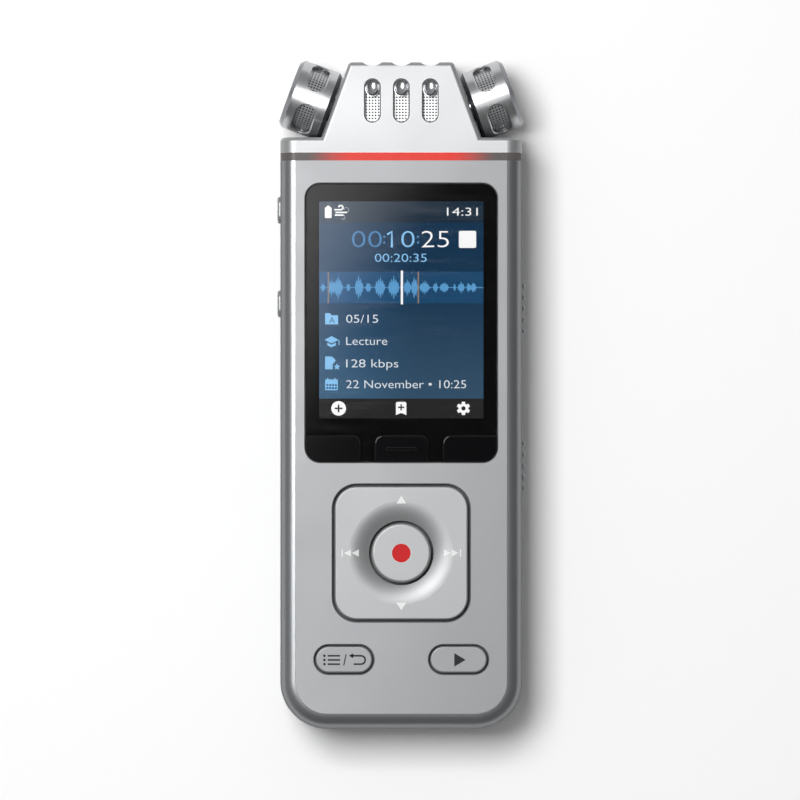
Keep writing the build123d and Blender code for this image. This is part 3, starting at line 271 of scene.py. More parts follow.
def satin_finish(name, colour, metallic, roughness, grain=0.12, fleck=0.05, depth=0.25, edge=None, wear=0.4,
                 crown=None, skirt=None, tint=1.0, shine=0.5):
    """A satin material. edge is the colour of worn edges, and wear is how worn they are. crown gives the
    face's bend across it, along it, and where the bend along it starts. Below skirt, a height in metres,
    the piece is darker: painted shade for the gap round a key. tint dulls its glancing reflections, as
    painted shade on low edges, and shine is the level of its mirror gloss."""
    made = bpy.data.materials.new(name)
    made.use_nodes = True
    tree = made.node_tree
    shader = tree.nodes["Principled BSDF"]
    shader.inputs["Metallic"].default_value = metallic
    shader.inputs["Specular IOR Level"].default_value = shine
    # Below 1, tint is painted shade: it dulls the glancing reflections of low edges that face the white
    # table.
    shader.inputs["Specular Tint"].default_value = (tint, tint, tint, 1)
    where = tree.nodes.new("ShaderNodeTexCoord")
    if crown:
        across, along, middle = crown
        face = place_group(tree, SOFT_CROWN, Vector=where.outputs["Object"], Across=across, Along=along,
                           Middle=middle).outputs["Normal"]
    else:
        face = tree.nodes.new("ShaderNodeNewGeometry").outputs["Normal"]
    skin = place_group(tree, SATIN_GRAIN, Vector=where.outputs["Object"], Colour=srgb(colour),
                       Grain_Size=grain, Fleck=fleck, Roughness=roughness, Depth=depth, Normal=face)
    shade = skin.outputs["Colour"]
    if edge:
        worn = place_group(tree, WORN_EDGE, Colour=shade, Edge_Colour=srgb(edge), Amount=wear)
        shade = worn.outputs["Colour"]
    # Painted shade: below the skirt height the colour is darkened, for the shadow in the gap round a key.
    if skirt:
        height = tree.nodes.new("ShaderNodeSeparateXYZ")
        tree.links.new(where.outputs["Object"], height.inputs[0])
        gap_shade = tree.nodes.new("ShaderNodeVectorMath")
        gap_shade.operation = "SCALE"
        tree.links.new(shade, gap_shade.inputs[0])
        tree.links.new(fade(tree, height.outputs["Z"], skirt - SKIRT_BLEND, skirt + SKIRT_BLEND,
                            SKIRT_SHADE, 1.0), gap_shade.inputs["Scale"])
        shade = gap_shade.outputs[0]
    tree.links.new(shade, shader.inputs["Base Color"])
    tree.links.new(skin.outputs["Roughness"], shader.inputs["Roughness"])
    tree.links.new(skin.outputs["Normal"], shader.inputs["Normal"])
    return made


def coat(material, *names):
    """Gives CAD pieces their finish."""
    for name in names:
        for place in nodes[name].material_slots:
            place.material = material


# The frame's glancing reflections are dulled (tint 0.3): painted shade along its low outer edges.
coat(satin_finish("gunmetal_anodised", "8e9092", 0.85, 0.30, edge="a2a4a6", wear=0.3, tint=0.3), "mid_frame")


# ---- Back cover ---------------------------------------------------------------------------------
# A moulded plate painted metallic silver, with a field of sound holes over the loudspeaker. Four
# plated cross-head screws hold it in their seats; the screws inside have the same plating.
coat(satin_finish("back_silver_paint", "a6a8aa", 0.5, 0.42, grain=0.09, fleck=0.08, edge="c8cacc", wear=0.3),
     "back_cover")
coat(satin_finish("plated_steel", "a2a2a4", 1.0, 0.3, grain=0.2, edge="dadadc", wear=0.5),
     "cover_screws", "board_screws", "head_screws", "drum_screws")


# ---- Insides ------------------------------------------------------------------------------------
# Board, chips, switches, cell and loudspeaker. They are closed in, and show only through the
# speaker's holes, the windows of the head and the mouths of the sockets.
coat(satin_finish("solder_mask", "1c5a36", 0.0, 0.35, grain=0.3, fleck=0.1), "main_board")
coat(satin_finish("moulded_epoxy", "19191b", 0.0, 0.55, fleck=0.15), "board_chips")
coat(satin_finish("switch_plate", "b4b4ae", 0.9, 0.35), "dome_switches", "side_switches", "slide_switches")
coat(satin_finish("cell_pouch", "b2b4b6", 0.8, 0.45, grain=0.8, depth=0.5), "battery")
coat(satin_finish("black_foam", "101011", 0.0, 0.95, grain=0.25, fleck=0.3, depth=0.6),
     "battery_pad", "speaker_gasket", "lcd_adhesive")
coat(satin_finish("speaker_cone", "1c1c1e", 0.0, 0.6, grain=0.15, fleck=0.2), "speaker")
coat(satin_finish("amber_film", "9a5a1c", 0.0, 0.3), "lcd_flex")
coat(satin_finish("grey_silicone", "3c3c3e", 0.0, 0.7, grain=0.3, fleck=0.08), "nav_mat", "head_capsule_boot")
coat(satin_finish("black_moulded", "171718", 0.0, 0.5, grain=0.1, fleck=0.12, edge="3a3a3c", wear=0.3),
     "inner_chassis", "power_switch_wiper", "mode_switch_wiper")
coat(satin_finish("drawn_can", "c0c2c4", 1.0, 0.3, grain=0.2), "head_capsule", "drum_capsule_left",
     "drum_capsule_right")


# ---- Sockets ------------------------------------------------------------------------------------
# Black plastic jacks open in the left side. The data port in the tail and the card slot in the
# right side are stamped steel shells, folded and soldered to the board.
coat(satin_finish("jack_plastic", "1a1a1c", 0.0, 0.4, edge="48484a"), "microphone_jack", "headphone_jack")
coat(satin_finish("stamped_steel", "bcbec0", 1.0, 0.28, grain=0.2, edge="e4e6e8"),
     "usb_socket", "card_socket")


# ---- Display ------------------------------------------------------------------------------------
# A two-inch colour panel under a clear lens whose border is printed black from behind. The picture
# is a lit sheet on the panel, and its figures, bars and signs are thin lit sheets just above it.
panel_low, panel_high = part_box("lcd_module")
VIEW_WIDTH = 30.4 * MM
VIEW_RISE = 20.36 * MM
VIEW_FALL = 19.8 * MM
INK_LIFT = 0.02 * MM
LAYER = 0.012 * MM
view_x = (panel_low.x + panel_high.x) / 2
view_y = (panel_low.y + panel_high.y) / 2
view_left = view_x - VIEW_WIDTH / 2
view_right = view_x + VIEW_WIDTH / 2
view_bottom = view_y - VIEW_FALL
view_top = view_y + VIEW_RISE
panel_top = panel_high.z


def only_none():
    """Deselects everything."""
    bpy.ops.object.select_all(action="DESELECT")


def only(*pieces):
    """Selects these pieces and nothing else, the first one active."""
    only_none()
    for piece in pieces:
        piece.select_set(True)
    bpy.context.view_layer.objects.active = pieces[0]


def settle(piece):
    """Puts a piece's place, turn and size into its mesh, so that its object sits at the origin."""
    only(piece)
    bpy.ops.object.transform_apply(location=True, rotation=True, scale=True)


def join(name, *pieces):
    """Joins pieces into one mesh."""
    only(*pieces)
    bpy.ops.object.join()
    made = bpy.context.object
    made.name = name
    made.data.name = name
    return made


def apply_modifiers(piece):
    """Applies every modifier on a piece, in order."""
    only(piece)
    for modifier in list(piece.modifiers):
        bpy.ops.object.modifier_apply(modifier=modifier.name)


def select_faces(piece, wanted):
    """In edit mode, selects the faces for which wanted(face) is true."""
    only(piece)
    bpy.context.tool_settings.mesh_select_mode = (False, False, True)
    bpy.ops.object.mode_set(mode="EDIT")
    bpy.ops.mesh.select_all(action="DESELECT")
    bpy.ops.object.mode_set(mode="OBJECT")
    for face in piece.data.polygons:
        face.select = wanted(face)
    bpy.ops.object.mode_set(mode="EDIT")


def copy_of_node(node, name):
    """A free copy of a CAD piece's mesh, with its split vertices merged."""
    made = nodes[node].copy()
    made.data = nodes[node].data.copy()
    made.name = name
    made.parent = None
    for key in list(made.keys()):
        del made[key]
    bpy.context.scene.collection.objects.link(made)
    only(made)
    bpy.ops.object.mode_set(mode="EDIT")
    bpy.ops.mesh.select_all(action="SELECT")
    bpy.ops.mesh.customdata_custom_splitnormals_clear()
    bpy.ops.mesh.remove_doubles(threshold=0.001 * MM)
    bpy.ops.object.mode_set(mode="OBJECT")
    made.data.materials.clear()
    return made


def lens_glass():
    """Clear hard-coated glass with a faint trace of wiping on its surface."""
    made = bpy.data.materials.new("clear_lens")
    made.use_nodes = True
    tree = made.node_tree
    shader = tree.nodes["Principled BSDF"]
    shader.inputs["Base Color"].default_value = (1, 1, 1, 1)
    shader.inputs["Transmission Weight"].default_value = 1.0
    shader.inputs["IOR"].default_value = 1.49
    where = tree.nodes.new("ShaderNodeTexCoord")
    wipe = tree.nodes.new("ShaderNodeMapping")
    wipe.inputs["Rotation"].default_value = (0, 0, math.radians(25))
    wipe.inputs["Scale"].default_value = (90, 900, 90)
    tree.links.new(where.outputs["Object"], wipe.inputs["Vector"])
    streak = tree.nodes.new("ShaderNodeTexNoise")
    streak.inputs["Scale"].default_value = 1.0
    tree.links.new(wipe.outputs[0], streak.inputs["Vector"])
    tree.links.new(fade(tree, streak.outputs["Fac"], 0.35, 0.75, 0.015, 0.05), shader.inputs["Roughness"])
    return made


coat(lens_glass(), "display_lens")

lens_print = copy_of_node("display_lens", "lens_print")
select_faces(lens_print, lambda face: face.normal.z > -0.9)
bpy.ops.mesh.delete(type="FACE")
for spot, way in (((view_left, 0, 0), (1, 0, 0)), ((view_right, 0, 0), (1, 0, 0)),
                  ((0, view_bottom, 0), (0, 1, 0)), ((0, view_top, 0), (0, 1, 0))):
    bpy.ops.mesh.select_all(action="SELECT")
    bpy.ops.mesh.bisect(plane_co=spot, plane_no=way)
bpy.ops.object.mode_set(mode="OBJECT")
select_faces(lens_print, lambda face: (view_left < face.center.x < view_right
                                       and view_bottom < face.center.y < view_top))
bpy.ops.mesh.delete(type="FACE")
bpy.ops.mesh.select_all(action="SELECT")
bpy.ops.transform.translate(value=(0, 0, INK_LIFT))
bpy.ops.object.mode_set(mode="OBJECT")
lens_print.data.materials.append(satin_finish("black_print", "101011", 0.0, 0.6, fleck=0.1, shine=0.0))
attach(lens_print, "casing")


# Painted glare: the picture is lit more towards its left side, for light from the upper left reflected in the
# lens.
GLARE_REACH = 20 * MM


def glow(name, colour, far_colour=None, top=None, bottom=None, left_glare=1.0):
    """A lit ink: one colour, or a blend from colour at top to far_colour at bottom, in metres along Y.
    The left-side gain brightens it towards the left side of the panel, within its reach: painted glare,
    for light from the upper left reflected in the lens."""
    made = bpy.data.materials.new(name)
    made.use_nodes = True
    tree = made.node_tree
    shader = tree.nodes["Principled BSDF"]
    shader.inputs["Base Color"].default_value = (0.0, 0.0, 0.0, 1)
    shader.inputs["Roughness"].default_value = 0.6
    shader.inputs["Specular IOR Level"].default_value = 0.0
    shader.inputs["Emission Strength"].default_value = 1.0
    where = tree.nodes.new("ShaderNodeTexCoord")
    split = tree.nodes.new("ShaderNodeSeparateXYZ")
    tree.links.new(where.outputs["Object"], split.inputs[0])
    blend = tree.nodes.new("ShaderNodeMix")
    blend.data_type = "RGBA"
    blend.inputs["A"].default_value = srgb(colour)
    blend.inputs["B"].default_value = srgb(far_colour or colour)
    low, high = (top, bottom) if far_colour else (0.0, 1.0)
    tree.links.new(fade(tree, split.outputs["Y"], low, high), blend.inputs["Factor"])
    dots = tree.nodes.new("ShaderNodeTexNoise")
    dots.inputs["Scale"].default_value = 4000.0
    tree.links.new(where.outputs["Object"], dots.inputs["Vector"])
    grid = tree.nodes.new("ShaderNodeVectorMath")
    grid.operation = "SCALE"
    tree.links.new(blend.outputs["Result"], grid.inputs[0])
    # Painted glare: brighter towards the left side of the panel.
    painted_glare = fade(tree, split.outputs["X"], view_left, view_left + GLARE_REACH, left_glare, 1.0)
    tree.links.new(maths(tree, "MULTIPLY", painted_glare, fade(tree, dots.outputs["Fac"], 0.3, 0.7, 0.96, 1.04)),
                   grid.inputs["Scale"])
    tree.links.new(grid.outputs[0], shader.inputs["Emission Color"])
    return made


def rounded(left, right, bottom, top, radius, steps=6):
    """Points round a rectangle with rounded corners, in millimetres."""
    points = []
    corners = ((right, top, 0), (left, top, 90), (left, bottom, 180), (right, bottom, 270))
    for x, y, start in corners:
        cx = x - radius if x == right else x + radius
        cy = y - radius if y == top else y + radius
        for n in range(steps + 1):
            turn = math.radians(start + 90 * n / steps)
            points.append((cx + radius * math.cos(turn), cy + radius * math.sin(turn)))
    return points


def circle(x, y, radius, steps=32):
    """Points round a circle, in millimetres."""
    return [(x + radius * math.cos(2 * math.pi * n / steps), y + radius * math.sin(2 * math.pi * n / steps))
            for n in range(steps)]


def flat_shape(name, outlines, z):
    """A flat sheet from closed outlines in millimetres; an outline inside another is a hole. z is in
    metres."""
    curve = bpy.data.curves.new(name, "CURVE")
    curve.dimensions = "2D"
    curve.fill_mode = "BOTH"
    for outline in outlines:
        spline = curve.splines.new("POLY")
        spline.points.add(len(outline) - 1)
        for point, (x, y) in zip(spline.points, outline):
            point.co = (x * MM, y * MM, 0, 1)
        spline.use_cyclic_u = True
    made = bpy.data.objects.new(name, curve)
    bpy.context.scene.collection.objects.link(made)
    only(made)
    bpy.ops.object.convert(target="MESH")
    made = bpy.context.object
    made.location.z = z
    settle(made)
    return made


STROKE_FLATTEN = 0.02


def stroke(name, points, width, z):
    """A flat line of one width through points in millimetres, with closed square ends. z is in metres."""
    curve = bpy.data.curves.new(name, "CURVE")
    curve.dimensions = "3D"
    curve.bevel_depth = width / 2 * MM
    curve.bevel_resolution = 2
    curve.use_fill_caps = True
    spline = curve.splines.new("POLY")
    spline.points.add(len(points) - 1)
    for point, (x, y) in zip(spline.points, points):
        point.co = (x * MM, y * MM, 0, 1)
    made = bpy.data.objects.new(name, curve)
    bpy.context.scene.collection.objects.link(made)
    only(made)
    bpy.ops.object.convert(target="MESH")
    made = bpy.context.object
    made.scale.z = STROKE_FLATTEN
    made.location.z = z
    settle(made)
    return made


def arc(x, y, radius, start, end, steps=12):
    """Points along an arc, in millimetres and degrees."""
    turns = [math.radians(start + (end - start) * n / steps) for n in range(steps + 1)]
    return [(x + radius * math.cos(t), y + radius * math.sin(t)) for t in turns]


# How high the typeface's figures stand at its size of one.
FIGURE_HEIGHT = 0.691


def label(name, text, left, right, base, height, z, weight=-0.006):
    """Figures or words that fill left to right and stand height tall on base, in millimetres. z is in
    metres, and weight thickens or thins the strokes."""
    only_none()
    bpy.ops.object.text_add()
    made = bpy.context.object
    made.name = name
    made.data.body = text
    made.data.resolution_u = 4
    made.data.offset = weight
    bpy.ops.object.convert(target="MESH")
    made = bpy.context.object
    across = [corner[0] for corner in made.bound_box]
    wide = (right - left) * MM / (max(across) - min(across))
    made.scale = (wide, height * MM / FIGURE_HEIGHT, 1)
    made.location = (left * MM - min(across) * wide, base * MM, z)
    settle(made)
    return made


# The picture is drawn in millimetres of its own, and set on the panel by its middle and its scale.
PICTURE_MIDDLE = 15.48 * MM
PICTURE_SCALE = 0.989


def lit(piece, material):
    """A sheet of the picture, moved from its drawn place to the panel: lit, facing up, on the casing."""
    piece.scale.y = PICTURE_SCALE
    piece.location.y = view_y - PICTURE_MIDDLE * PICTURE_SCALE
    settle(piece)
    piece.data.materials.clear()
    piece.data.materials.append(material)
    select_faces(piece, lambda face: True)
    bpy.ops.mesh.normals_make_consistent(inside=False)
    bpy.ops.object.mode_set(mode="OBJECT")
    if sum(face.normal.z * face.area for face in piece.data.polygons) < 0:
        select_faces(piece, lambda face: True)
        bpy.ops.mesh.flip_normals()
        bpy.ops.object.mode_set(mode="OBJECT")
    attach(piece, "casing")
    return piece


left_mm, right_mm = view_left / MM, view_right / MM
bottom_mm, top_mm = -4.54, 36.06
STATUS_HEIGHT = 3.96
BAR_HEIGHT = 3.7
BAND = (17.0, 22.9)
status_low = top_mm - STATUS_HEIGHT
bar_high = bottom_mm + BAR_HEIGHT


def rectangle(left, right, bottom, top):
    """The four corners of a rectangle, in millimetres."""
    return [(left, bottom), (right, bottom), (right, top), (left, top)]


# How much more the left of the picture is lit: painted glare.
LEFT_GLARE = 1.6
ground = panel_top + 0.3 * LAYER
first = ground + LAYER
second = first + LAYER
third = second + LAYER
WHITE = glow("screen_white", "ffffff", left_glare=1.05)
PALE = glow("screen_pale_text", "dfe7ee")
SKY = glow("screen_sky_blue", "8cc8f4")
MID = glow("screen_mid_blue", "4a86ba")
WAVE = glow("screen_wave_blue", "5a9ccf")

lit(flat_shape("screen_ground", [rectangle(left_mm, right_mm, bar_high, status_low)], ground),
    glow("screen_navy", "12334f", "335069", view_top - 12 * MM, view_bottom, LEFT_GLARE))
lit(flat_shape("screen_status", [rectangle(left_mm, right_mm, status_low, top_mm)], ground),
    glow("screen_slate", "1a2c3d", left_glare=LEFT_GLARE))
lit(flat_shape("screen_key_bar", [rectangle(left_mm, right_mm, bottom_mm, bar_high)], ground),
    glow("screen_charcoal", "262626"))
lit(flat_shape("screen_band", [rectangle(left_mm, right_mm, *BAND)], first),
    glow("screen_band_blue", "1b476c", left_glare=LEFT_GLARE))

# The voice trace: (place, half height, half width) of each burst of speech along the band.
BURSTS = ((-14.5, 1.2, 0.25), (-12.9, 1.9, 0.5), (-11.7, 2.6, 0.55), (-9.8, 1.25, 0.18), (-7.85, 2.7, 0.5),
          (-6.1, 1.3, 0.35), (-3.95, 2.5, 0.6), (-1.4, 2.55, 0.65), (1.15, 1.9, 0.45), (2.45, 2.6, 0.4),
          (4.3, 1.6, 0.6), (6.35, 1.3, 0.28), (7.95, 1.3, 0.55), (9.9, 1.2, 0.12), (11.1, 1.3, 0.4),
          (12.45, 1.3, 0.22), (13.35, 1.3, 0.35))
TRACE_STEP = 0.11


def loudness(x):
    """Half height of the voice trace at x: a round body for each burst, with taller spikes at its middle."""
    reach = 0.07
    for n, (at, height, half) in enumerate(BURSTS):
        off = abs(x - at) / (1.5 * half)
        if off < 1:
            ripple = 0.5 + 0.5 * math.sin(41.0 * x + 1.7 * n)
            reach = max(reach, height * (1 - off ** 2) ** 0.5 * (0.38 + 0.36 * ripple))
            reach = max(reach, height * (1 - off) ** 1.2 * (0.45 + 0.55 * ripple))
    return reach


band_middle = sum(BAND) / 2
steps = int((right_mm - left_mm) / TRACE_STEP)
places = [left_mm + TRACE_STEP * n for n in range(steps + 1)]
trace = [(x, band_middle + loudness(x)) for x in places]
trace += [(x, band_middle - loudness(x)) for x in reversed(places)]
lit(flat_shape("screen_trace", [trace], second), WAVE)
MARK_HALF = 0.13
lit(join("screen_marks", *[flat_shape("mark", [rectangle(x - MARK_HALF, x + MARK_HALF, *BAND)], third)
                           for x in (-13.5, 3.15)]),
    glow("screen_marker_brown", "8b7d6e"))

TIME_BASE = 27.45
TIME_HEIGHT = 3.15
TIME_WEIGHT = -0.014
time_top = TIME_BASE + TIME_HEIGHT
lit(label("screen_hours", "00", -9.15, -3.6, TIME_BASE, TIME_HEIGHT, first, TIME_WEIGHT), MID)
lit(join("screen_minutes",
         stroke("ten", [(-2.6, time_top - 0.75), (-1.75, time_top - 0.2), (-1.75, TIME_BASE)], 0.42, first),
         label("zero", "0", 0.0, 2.45, TIME_BASE, TIME_HEIGHT, first, TIME_WEIGHT)), SKY)
lit(join("screen_colons", *[flat_shape("colon", [circle(x, TIME_BASE + up, 0.22, 16)], first)
                            for x in (-3.15, 3.1) for up in (0.9, 2.0)]), MID)
lit(label("screen_total", "00:20:35", -4.9, 4.7, 24.75, 1.55, first), SKY)


def plus_sign(x, y, reach, width):
    """The outline of a plus sign, in millimetres."""
    w = width / 2
    points = [(w, reach), (w, w), (reach, w), (reach, -w), (w, -w), (w, -reach),
              (-w, -reach), (-w, -w), (-reach, -w), (-reach, w), (-w, w), (-w, reach)]
    return [(x + px, y + py) for px, py in points]


def gear(x, y, inner, outer, teeth):
    """The outline of a gear sign with rounded-off teeth, in millimetres."""
    points = []
    for n in range(teeth):
        middle = 360 / teeth * n + 90
        for offset, radius in ((-21, inner), (-14, outer), (14, outer), (21, inner)):
            turn = math.radians(middle + offset)
            points.append((x + radius * math.cos(turn), y + radius * math.sin(turn)))
    return points


SIGN_Y = (bottom_mm + bar_high) / 2 + 0.02
bookmark = [(-1.0, SIGN_Y - 1.25), (-0.03, SIGN_Y - 0.85), (0.94, SIGN_Y - 1.25), (0.94, SIGN_Y + 1.0),
            (0.7, SIGN_Y + 1.22), (-0.76, SIGN_Y + 1.22), (-1.0, SIGN_Y + 1.0)]
lit(join("screen_white_signs",
         label("seconds", "25", 3.75, 8.8, TIME_BASE, TIME_HEIGHT, first, TIME_WEIGHT),
         label("clock", "14:31", 8.45, 14.15, 33.4, 1.5, first),
         flat_shape("stop", [rounded(10.65, 13.85, 27.35, 30.55, 0.3)], first),
         flat_shape("cell", [rounded(-14.15, -12.9, 32.95, 34.95, 0.15)], first),
         flat_shape("cell_cap", [rectangle(-13.8, -13.25, 34.95, 35.25)], first),
         stroke("gust", [(-12.4, 34.5), (-11.1, 34.5)] + arc(-11.2, 34.9, 0.4, -90, 170), 0.28, first),
         stroke("gust", [(-12.2, 34.0), (-10.1, 34.0)] + arc(-10.15, 34.45, 0.45, -90, 170), 0.28, first),
         stroke("gust", [(-12.3, 33.5), (-10.7, 33.5)] + arc(-10.8, 33.1, 0.4, 90, -170), 0.28, first),
         flat_shape("cursor", [rectangle(-0.1, 0.32, BAND[0] - 0.2, BAND[1] + 0.2)], third),
         flat_shape("add", [circle(-11.6, SIGN_Y, 1.36), plus_sign(-11.6, SIGN_Y, 0.72, 0.3)], first),
         flat_shape("bookmark", [bookmark, plus_sign(-0.03, SIGN_Y + 0.2, 0.58, 0.26)], first),
         flat_shape("settings", [gear(11.5, SIGN_Y, 0.92, 1.28, 6), circle(11.5, SIGN_Y, 0.4, 20)], first)),
    WHITE)

ROW_TEXT = -10.2
ROWS = (("05/15", -4.3, 13.35), ("Lecture", -2.6, 9.2), ("128 kbps", -0.55, 5.0),
        ("22 November • 10:25", 12.0, 1.1))
ROW_HEIGHT = 1.52
lit(join("screen_rows", *[label("row", text, ROW_TEXT, right, base, ROW_HEIGHT, first)
                          for text, right, base in ROWS]), PALE)

folder = [(-14.1, 13.05), (-11.7, 13.05), (-11.7, 14.75), (-12.9, 14.75), (-13.2, 15.15), (-14.1, 15.15)]
board = [(-14.2, 10.15), (-12.9, 9.5), (-11.6, 10.15), (-12.9, 10.85)]
cap = [(-13.7, 9.65), (-12.9, 9.25), (-12.1, 9.65), (-12.1, 9.15), (-12.9, 8.75), (-13.7, 9.15)]
tassel = [(-11.6, 10.1), (-11.45, 10.1), (-11.45, 9.2), (-11.6, 9.2)]
sheet = [(-14.1, 4.65), (-12.7, 4.65), (-12.7, 5.6), (-12.2, 6.2), (-12.2, 6.4), (-12.85, 7.05),
         (-14.1, 7.05)]
star = [(-11.9 + r * math.cos(math.radians(90 + 36 * n)), 5.1 + r * math.sin(math.radians(90 + 36 * n)))
        for n, r in enumerate((0.66, 0.28) * 5)]
calendar = rounded(-14.1, -11.75, 0.72, 2.75, 0.2)
rings = [rectangle(x - 0.1, x + 0.1, 2.6, 3.0) for x in (-13.6, -12.3)]
cells = [rectangle(x, x + 0.36, y, y + 0.36) for x in (-13.85, -13.33, -12.81, -12.29) for y in (0.95, 1.5)]
lit(join("screen_blue_signs", *[flat_shape("sign", [outline], first) for outline in
                                (folder, board, cap, tassel, sheet, star, calendar, *rings)]), SKY)
lit(join("screen_dark_details", *[flat_shape("cell", [cell], second) for cell in cells],
         label("letter", "A", -13.35, -12.35, 13.3, 1.1, second)), glow("screen_deep_blue", "2a5480"))
coat(satin_finish("panel_glass", "0c1016", 0.0, 0.2, fleck=0.02), "lcd_module")


# ---- Face plate ---------------------------------------------------------------------------------
# Thin aluminium sheet, blanked, fine-blasted and anodised silver. It is bonded into the frame's
# recess and has a very slight crown from side to side.
coat(satin_finish("silver_anodised", "929395", 0.65, 0.52, grain=0.07, fleck=0.06, crown=(0.9, 0.0, 0.0)),
     "front_plate")


# ---- Softkeys -----------------------------------------------------------------------------------
# Three moulded keys in piano black that fill the notches at the lens's lower edge. Their gloss
# goes pale along the edges, where fingers rub.
coat(satin_finish("piano_black", "08080a", 0.0, 0.05, grain=0.4, fleck=0.02, depth=0.02, edge="2c2c2e",
                  wear=0.8, shine=0.35),
     "softkey_left", "softkey_centre", "softkey_right")


# ---- Navigation pad and keys --------------------------------------------------------------------
# Moulded keys with a metallic silver lacquer; their signs are printed, pale on the pad and dark on
# the two lower keys. A red insert marks the record key.
pad_low, pad_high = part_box("nav_pad")
SKIRT_DROP = 1.3 * MM
# Painted shade: the keys are darkened below this height, so that their flanges read dark in the gaps round
# them.
KEY_SKIRT = pad_high.z - SKIRT_DROP
coat(satin_finish("pad_lacquer", "9b9c9d", 0.65, 0.48, grain=0.06, fleck=0.05, edge="e8e9ea", wear=0.5,
                  skirt=KEY_SKIRT),
     "nav_pad", "record_button")
coat(satin_finish("key_lacquer", "8c8d8f", 0.65, 0.48, grain=0.06, fleck=0.05, edge="c8c9ca", wear=0.4,
                  skirt=KEY_SKIRT),
     "menu_key", "play_key")
coat(satin_finish("red_insert", "c0161a", 0.0, 0.4, grain=0.1, fleck=0.03, shine=0.15), "record_dot")

pad_y = (pad_low.y + pad_high.y) / 2 / MM
PRINT_T = 0.02 * MM
PRINT_LIFT = 0.012 * MM
SIGN_REACH = 9.9
SKIP_X = 9.45


def triangle(x, y, width, height, turn):
    """A triangle that points along turn, in millimetres and degrees."""
    a = math.radians(turn)
    local = ((height / 2, 0), (-height / 2, width / 2), (-height / 2, -width / 2))
    c, s = math.cos(a), math.sin(a)
    return [(x + px * c - py * s, y + px * s + py * c) for px, py in local]


def printed(piece, node, body, material):
    """A print that follows a key's surface: it is divided, laid on the key and given a slight thickness."""
    only(piece)
    bpy.ops.object.mode_set(mode="EDIT")
    bpy.ops.mesh.select_all(action="SELECT")
    bpy.ops.mesh.quads_convert_to_tris()
    bpy.ops.mesh.subdivide(number_cuts=3)
    bpy.ops.object.mode_set(mode="OBJECT")
    lay = piece.modifiers.new("lay", "SHRINKWRAP")
    lay.wrap_method = "PROJECT"
    lay.use_project_z = True
    lay.use_negative_direction = True
    lay.use_positive_direction = False
    lay.target = nodes[node]
    lay.offset = PRINT_LIFT
    body_of_print = piece.modifiers.new("thickness", "SOLIDIFY")
    body_of_print.thickness = PRINT_T
    body_of_print.offset = 0
    apply_modifiers(piece)
    piece.data.materials.clear()
    piece.data.materials.append(material)
    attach(piece, body)
    return piece


above_pad = pad_high.z + 0.5 * MM
skip_signs = []
for side in (-1, 1):
    way = 90 - 90 * side
    for x in (SKIP_X - 0.95, SKIP_X + 0.5):
        skip_signs.append(flat_shape("skip", [triangle(side * x, pad_y, 1.35, 1.3, way)], above_pad))
    bar = sorted((side * (SKIP_X + 1.38), side * (SKIP_X + 1.6)))
    skip_signs.append(flat_shape("skip", [rectangle(*bar, pad_y - 0.7, pad_y + 0.7)], above_pad))
step_signs = [flat_shape("step", [triangle(0, pad_y + way * SIGN_REACH, 1.8, 1.45, 90 * way)], above_pad)
               for way in (-1, 1)]
pale_print = satin_finish("pale_print", "dcdcdc", 0.0, 0.45, grain=0.1, fleck=0.03)
printed(join("pad_signs", *skip_signs, *step_signs), "nav_pad", "nav_pad", pale_print)

dark_print = satin_finish("dark_print", "2c2c2e", 0.0, 0.5, grain=0.1, fleck=0.05, shine=0.1)
for node in ("menu_key", "play_key"):
    low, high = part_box(node)
    x, y = (low.x + high.x) / 2 / MM, (low.y + high.y) / 2 / MM
    top = high.z + 0.2 * MM
    if node == "play_key":
        signs = [flat_shape("play", [triangle(x + 0.25, y - 0.05, 2.5, 2.1, 0)], top)]
    else:
        rows = [y + 0.7, y - 0.07, y - 0.85]
        signs = [flat_shape("dot", [circle(x - 3.62, row, 0.24, 16)], top) for row in rows]
        signs += [flat_shape("line", [rectangle(x - 3.0, x - 0.72, row - 0.15, row + 0.15)], top)
                  for row in rows]
        slash = [(x - 0.15, y - 1.1), (x + 0.05, y - 1.1), (x + 0.5, y + 1.0), (x + 0.3, y + 1.0)]
        signs.append(flat_shape("slash", [slash], top))
        turn_outer = arc(x + 3.15, y - 0.07, 0.93, 90, -90)
        turn_inner = arc(x + 3.15, y - 0.07, 0.62, -90, 90)
        hook = [(x + 1.35, y + 0.86), *turn_outer, (x + 1.8, y - 1.0), (x + 1.8, y - 0.69), *turn_inner,
                (x + 1.35, y + 0.55)]
        signs.append(flat_shape("hook", [hook], top))
        signs.append(flat_shape("barb", [triangle(x + 1.3, y + 0.7, 0.9, 0.8, 180)], top))
    printed(join(node + "_sign", *signs), node, node, dark_print)


# ---- Side controls ------------------------------------------------------------------------------
# Two volume keys in the left side and two sliders with rows of grip bumps in the right side, all
# moulded and painted metallic grey.
coat(satin_finish("side_key_paint", "8c8e90", 0.6, 0.4, grain=0.08, edge="aaacae", wear=0.5),
     "volume_up_key", "volume_down_key", "power_slider", "mode_slider")


# ---- Light guide --------------------------------------------------------------------------------
# A smoked band between body and head. Three lamps on the board light its middle red, and the light
# fades to smoked grey at both sides.
guide_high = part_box("light_guide")[1]
GLOW_FULL = 8.5 * MM
GLOW_GONE = 18.0 * MM
GLOW_FRONT = 1.5 * MM
GLOW_BACK = 5 * MM


